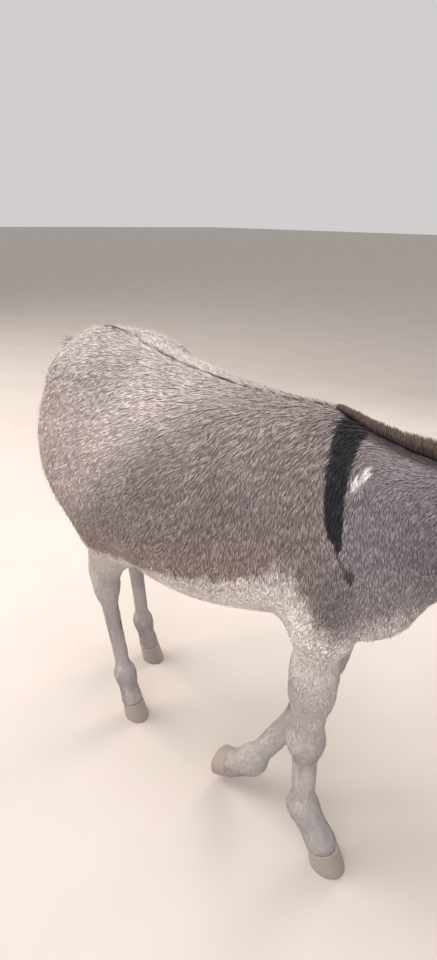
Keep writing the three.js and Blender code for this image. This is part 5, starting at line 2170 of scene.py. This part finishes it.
# ---- Finishes ----------------------------------------------------------------------------------
def rgba(code: str) -> tuple[float, ...]:
    """Linear RGB of an sRGB hex colour, with full alpha."""
    return (*linear(code).tolist(), 1.0)


def add_node(tree: bpy.types.NodeTree, kind: str, output: str | int | None,
             inputs: dict | None = None, **settings: object) -> bpy.types.NodeSocket | None:
    """Adds a node, sets its properties, and links or sets its inputs.

    Args:
        tree: the material's node tree.
        kind: the node's type, without the prefix that all have.
        output: name or index of the output that is read, or None.
        inputs: a socket to link, a value or an sRGB hex colour, by the input's name or index.
        settings: properties of the node.

    Returns:
        The output's socket.
    """
    node = tree.nodes.new("ShaderNode" + kind)
    for key, value in settings.items():
        setattr(node, key, value)
    for key, value in (inputs or {}).items():
        if isinstance(value, bpy.types.NodeSocket):
            tree.links.new(value, node.inputs[key])
        else:
            node.inputs[key].default_value = rgba(value) if isinstance(value, str) else value
    return None if output is None else node.outputs[output]


def new_material(name: str, tint: str) -> tuple[Material, AddNode]:
    """An empty node material.

    Args:
        name: the material's name.
        tint: its viewport colour as sRGB hex.

    Returns:
        The material, and add_node for its tree.
    """
    material = bpy.data.materials.new(name)
    material.use_nodes = True
    material.node_tree.nodes.clear()
    material.diffuse_color = rgba(tint)
    return material, partial(add_node, material.node_tree)


def finish_surface(add: AddNode, inputs: dict) -> None:
    """Ends a tree in a principled shader and the material's output."""
    add("OutputMaterial", None, {"Surface": add("BsdfPrincipled", "BSDF", inputs)})


NOISE_BAND = {"From Min": 0.3, "From Max": 0.7}     # most of a noise texture's values
BLEND = {"data_type": "RGBA"}      # a colour Mix: sockets 6 and 7 in, 2 out


@dataclass(frozen=True)
class SkinFinish:
    """Short dense undercoat on hide: matt, in the marking's colour, with fine combed relief.

    It shows as dark soft ground between the tufts. Wisps are as wide as a pinch of hair.
    """

    wisp_mm: float = 1.6
    patch_mm: float = 9.0
    depth_mm: float = 0.45

    def material(self) -> Material:
        """Marking times a soft mottle, with bump at the width of wisps."""
        material, add = new_material("undercoat_hide", COAT.barrel)
        place = add("TexCoord", "Object")
        grain = add("Attribute", "Vector", attribute_name="grain")
        wisps = add("TexNoise", "Fac", {
            "Vector": grain, "Scale": 1000.0 / self.wisp_mm, "Detail": 3.0, "Roughness": 0.6})
        patches = add("TexNoise", "Fac", {
            "Vector": place, "Scale": 1000.0 / self.patch_mm, "Detail": 4.0, "Roughness": 0.6})
        mottle = add("MapRange", "Result", {
            "Value": patches, **NOISE_BAND, "To Min": 0.9, "To Max": 1.0})
        streak = add("MapRange", "Result", {
            "Value": wisps, **NOISE_BAND, "To Min": 0.86, "To Max": 1.0})
        tone = add("Math", "Value", {0: mottle, 1: streak}, operation="MULTIPLY")
        marking = add("Attribute", "Color", attribute_name="marking")
        finish_surface(add, {
            "Base Color": add("HueSaturation", "Color", {"Color": marking, "Value": tone}),
            "Roughness": 0.78, "Specular IOR Level": 0.25,
            "Normal": add("Bump", "Normal", {
                "Height": wisps, "Distance": self.depth_mm / 1000.0, "Strength": 0.8})})
        return material


@dataclass(frozen=True)
class HairFinish:
    """Animal hair in wisps: a dull sheen, and a tone from a darker root to the tip, partly painted
    shade.

    The strands' relief has `cells` of noise across a tuft, from tuft to tuft, and along it. Tufts
    that lie on the skin are lit by their own soft normals, so that they read as fur, not scales.
    """

    name: str
    root_value: float
    tip_value: float
    spread: float
    tip_colour: str | None = None
    tip_from: float = 0.45
    lies: bool = True
    roughness: float = 0.68
    cells: Vec = (4.0, 60.0, 1.2)
    depth_mm: float = 0.2

    def material(self) -> Material:
        """Marking times a root-to-tip ramp and each tuft's own shade, with strand relief."""
        material, add = new_material(self.name, COAT.barrel)
        colour = add("Attribute", "Color", attribute_name="marking")
        along, shade, edge = (
            add("Attribute", "Fac", attribute_name=n) for n in ("along", "shade", "edge"))
        if self.tip_colour:
            reach = add("MapRange", "Result", {
                "Value": along, "From Min": self.tip_from, "From Max": 1.0})
            colour = add("Mix", 2, {"Factor": reach, 6: colour, 7: self.tip_colour}, **BLEND)
        # Darker at the root than at the tip: partly the hair's own tone, partly painted shade where
        # roots lie under other tufts.
        lengthwise = add("MapRange", "Result", {
            "Value": along, "To Min": self.root_value, "To Max": self.tip_value})
        own = add("MapRange", "Result", {
            "Value": shade, "From Min": -2.0, "From Max": 2.0,
            "To Min": 1.0 - self.spread, "To Max": 1.0 + self.spread})
        tone = add("Math", "Value", {0: lengthwise, 1: own}, operation="MULTIPLY")
        lines = add("CombineXYZ", "Vector", {"X": edge, "Y": shade, "Z": along})
        lines = add("VectorMath", "Vector", {0: lines, 1: self.cells}, operation="MULTIPLY")
        strands = add("TexNoise", "Fac", {"Vector": lines, "Scale": 1.0, "Detail": 1.0})
        fibre = add("MapRange", "Result", {
            "Value": strands, **NOISE_BAND, "To Min": 0.88, "To Max": 1.1})
        tone = add("Math", "Value", {0: tone, 1: fibre}, operation="MULTIPLY")
        relief = {"Height": strands, "Distance": self.depth_mm / 1000.0, "Strength": 0.25}
        if self.lies:
            lie = add("Attribute", "Vector", attribute_name="lie")
            relief["Normal"] = add("VectorTransform", "Vector", {"Vector": lie},
                                   vector_type="NORMAL", convert_from="OBJECT", convert_to="WORLD")
        finish_surface(add, {
            "Base Color": add("HueSaturation", "Color", {"Color": colour, "Value": tone}),
            "Roughness": self.roughness, "Specular IOR Level": 0.3, "Sheen Weight": 0.12,
            "Sheen Roughness": 0.5, "Normal": add("Bump", "Normal", relief)})
        return material


@dataclass(frozen=True)
class EyeFinish:
    """A wet dark eye: brown iris round a level pupil under clear cornea, nearly black and glossy.

    Radii are shares of the eyeball's, seen along the gaze.
    """

    pupil: str = "#050404"
    iris: str = "#1c1009"
    iris_edge: str = "#0b0705"
    white: str = "#211814"
    iris_radius: float = 0.72
    pupil_wide: float = 0.42
    pupil_high: float = 0.2

    def material(self) -> Material:
        """Distances from the gaze pick pupil, iris, its dark edge and the white in turn."""
        material, add = new_material("dark_eye", self.iris)
        side, rise = (add("Attribute", "Fac", attribute_name=n) for n in ("across", "above"))
        flat = add("CombineXYZ", "Vector", {"X": side, "Y": rise})
        distances = []
        for wide, high in ((self.iris_radius,) * 2, (self.pupil_wide, self.pupil_high)):
            scaled = add("VectorMath", "Vector", {0: flat, 1: (1.0 / wide, 1.0 / high, 0.0)},
                         operation="MULTIPLY")
            distances.append(add("VectorMath", "Value", {0: scaled}, operation="LENGTH"))
        from_iris, from_pupil = distances
        colour = self.iris
        for distance, low, high, inside_first, other in (
                (from_iris, 0.72, 1.0, True, self.iris_edge),
                (from_iris, 1.0, 1.12, True, self.white),
                (from_pupil, 0.9, 1.1, False, self.pupil)):
            share = add("MapRange", "Result", {
                "Value": distance, "From Min": low, "From Max": high})
            near, far = (colour, other) if inside_first else (other, colour)
            colour = add("Mix", 2, {"Factor": share, 6: near, 7: far}, **BLEND)
        finish_surface(add, {
            "Base Color": colour, "Roughness": 0.12, "Specular IOR Level": 0.5,
            "Coat Weight": 1.0, "Coat Roughness": 0.02, "Coat IOR": 1.38})
        return material


@dataclass(frozen=True)
class HornFinish:
    """Hoof horn: satin grey keratin with growth rings, fine tubules, and dust on the sole."""

    horn: str = "#8d837b"
    pale: str = "#aca298"
    dust: str = "#8d7f73"
    ring_count: float = 9.0
    cloud_mm: float = 14.2857
    tubule_mm: float = 1.1
    depth_mm: float = 0.4

    def material(self) -> Material:
        """Rings by height from the ground, bent by a cloud, tubules by noise, and dust below."""
        material, add = new_material("hoof_horn", self.horn)
        level, under = (add("Attribute", "Fac", attribute_name=n) for n in ("level", "under"))
        place = add("TexCoord", "Object")
        cloud = add("TexNoise", "Fac", {
            "Vector": place, "Scale": 1000.0 / self.cloud_mm, "Detail": 5.0, "Roughness": 0.6})
        bent = add("Math", "Value", {0: cloud, 1: 1.6, 2: 0.0}, operation="MULTIPLY_ADD")
        phase = add("Math", "Value", {0: level, 1: self.ring_count * math.tau, 2: bent},
                    operation="MULTIPLY_ADD")
        ring = add("Math", "Value", {0: phase}, operation="SINE")
        tone = add("MapRange", "Result", {
            "Value": ring, "From Min": -1.0, "From Max": 1.0, "To Min": 0.0, "To Max": 0.32})
        horn = add("Mix", 2, {"Factor": tone, 6: self.horn, 7: self.pale}, **BLEND)
        low = add("MapRange", "Result", {
            "Value": level, "From Min": 0.25, "From Max": 0.0, "To Min": 0.0, "To Max": 0.6})
        dusty = add("Math", "Value", {0: low, 1: under}, operation="MAXIMUM")
        tubules = add("TexNoise", "Fac", {
            "Vector": place, "Scale": 1000.0 / self.tubule_mm, "Detail": 2.0})
        relief = add("Math", "Value", {0: ring, 1: 0.5, 2: tubules}, operation="MULTIPLY_ADD")
        finish_surface(add, {
            "Base Color": add("Mix", 2, {"Factor": dusty, 6: horn, 7: self.dust}, **BLEND),
            "Roughness": add("MapRange", "Result", {
                "Value": cloud, "To Min": 0.45, "To Max": 0.75}),
            "Specular IOR Level": 0.4,
            "Normal": add("Bump", "Normal", {
                "Height": relief, "Distance": self.depth_mm / 1000.0, "Strength": 0.7})})
        return material


# ---- Studio ------------------------------------------------------------------------------------
def stand(name: str, data: bpy.types.ID, axes: Sequence[Array], place: Sequence[float]) -> Piece:
    """Puts a camera or lamp into the scene.

    Args:
        name: the object's name.
        data: the camera or light.
        axes: where its own X, Y and Z point.
        place: where it stands.

    Returns:
        The object.
    """
    matrix = np.eye(4)
    matrix[:3] = np.stack([*axes, place], -1)
    thing = bpy.data.objects.new(name, data)
    thing.matrix_world = Matrix(matrix.tolist())
    bpy.context.scene.collection.objects.link(thing)
    return thing


@dataclass(frozen=True)
class Camera:
    """The view: a standing person's, from the animal's right and above."""

    place: Vec = (0.484, -0.782, 1.272)
    yaw: float = math.radians(43.985)
    pitch: float = math.radians(24.633)
    roll: float = math.radians(1.064)
    focal_pixels: float = 573.2
    frame_height: int = 960
    film: float = 36.0

    def build(self) -> None:
        """Aims the camera: forward from yaw and pitch, with right and up turned by the roll."""
        forward = np.array([-math.sin(self.yaw) * math.cos(self.pitch),
                            math.cos(self.yaw) * math.cos(self.pitch), -math.sin(self.pitch)])
        right = np.array([math.cos(self.yaw), math.sin(self.yaw), 0.0])
        up = np.cross(right, forward)
        turned = right * math.cos(self.roll) + up * math.sin(self.roll)
        raised = up * math.cos(self.roll) - right * math.sin(self.roll)
        data = bpy.data.cameras.new("view")
        data.sensor_width = self.film
        data.lens = self.focal_pixels * self.film / self.frame_height
        data.clip_start = 0.02
        bpy.context.scene.camera = stand("view", data, (turned, raised, -forward),
                                         place_on_frame(np.array(self.place)))


@dataclass(frozen=True)
class Lamp:
    """A soft square lamp: where it stands, what it lights, its size, power and colour."""

    name: str
    place: Vec
    target: Vec
    size: float
    power: float
    colour: str

    def build(self) -> None:
        """Aims the lamp's own -Z at its target."""
        data = bpy.data.lights.new(self.name, "AREA")
        data.size = self.size
        data.energy = self.power
        data.color = tuple(linear(self.colour))
        back = unit(np.array(self.place) - np.array(self.target))
        side = unit(np.cross((0.0, 0.0, 1.0), back))
        stand(self.name, data, (side, np.cross(back, side), back), self.place)


class Studio:
    """A plain pale floor, soft daylight from above, and a low warm light from behind."""

    daylight, strength = "#ece9e8", 0.76
    plaster, plaster_dark = "#c6beb7", "#b9b1aa"
    floor_half, cloud_mm = 60.0, 333.333
    lamps = (
        Lamp("low_sun", (-4.9, -2.2, 3.8), (-0.3, 0.0, 0.7), 4.6, 440.0, "#fff6ee"),
        Lamp("sky", (-0.4, -0.2, 3.4), (-0.1, 0.0, 0.6), 2.4, 58.0, "#f9f8ff"),
        Lamp("back_rim", (-0.8, 2.6, 2.2), (-0.1, 0.0, 0.8), 1.4, 45.0, "#fff4e8"),
        Lamp("front_fill", (1.9, -2.7, 1.3), (0.0, 0.0, 0.6), 2.6, 64.0, "#f5f3fc"),
    )

    def build(self) -> None:
        """Sets the world, lamps, floor and camera."""
        world = bpy.data.worlds.new("daylight")
        bpy.context.scene.world = world
        world.use_nodes = True
        background = world.node_tree.nodes["Background"]
        background.inputs["Color"].default_value = rgba(self.daylight)
        background.inputs["Strength"].default_value = self.strength
        bpy.context.scene.view_settings.view_transform = "Standard"
        for lamp in self.lamps:
            lamp.build()
        Camera().build()
        self.floor()

    def floor(self) -> None:
        """A wide square of matt plaster with a faint cloudy tone."""
        material, add = new_material("pale_plaster", self.plaster)
        cloud = add("TexNoise", "Fac", {
            "Vector": add("TexCoord", "Object"), "Scale": 1000.0 / self.cloud_mm, "Detail": 4.0})
        tone = add("Mix", 2, {"Factor": cloud, 6: self.plaster_dark, 7: self.plaster}, **BLEND)
        finish_surface(add, {"Base Color": tone, "Roughness": 0.85})
        half = self.floor_half
        mesh = bpy.data.meshes.new("floor")
        corners = [(-half, -half, 0.0), (half, -half, 0.0), (half, half, 0.0), (-half, half, 0.0)]
        mesh.from_pydata(corners, [], [(0, 1, 2, 3)])
        mesh.materials.append(material)
        floor = bpy.data.objects.new("floor", mesh)
        bpy.context.scene.collection.objects.link(floor)


def main() -> None:
    """Builds the animal piece by piece, then the studio."""
    logging.basicConfig(level=logging.INFO, format="%(relativeCreated)6d ms  %(message)s")
    markings = Markings()
    body = make_body()
    skin = Skin(body, markings)
    skin.build(SkinFinish().material())
    coat = HairFinish("short_coat", 0.94, 1.06, 0.17).material()
    Coat(skin, markings).build(coat)
    EarCoat().build(coat)
    FaceHair(body, markings).build(coat)
    mane = HairFinish("mane_hair", 0.8, 1.1, 0.35, COAT.mane_tip, 0.6).material()
    Mane().build(body, mane)
    TailHair().build(HairFinish("tail_hair", 0.9, 1.2, 0.35, lies=False).material())
    eye = EyeFinish().material()
    for side in Side:
        Eye(side).build(eye)
    horn = HornFinish().material()
    for name, (foot, size) in feet().items():
        Hoof(name, foot, size).build(horn)
    Studio().build()


if __name__ == "__main__":
    main()
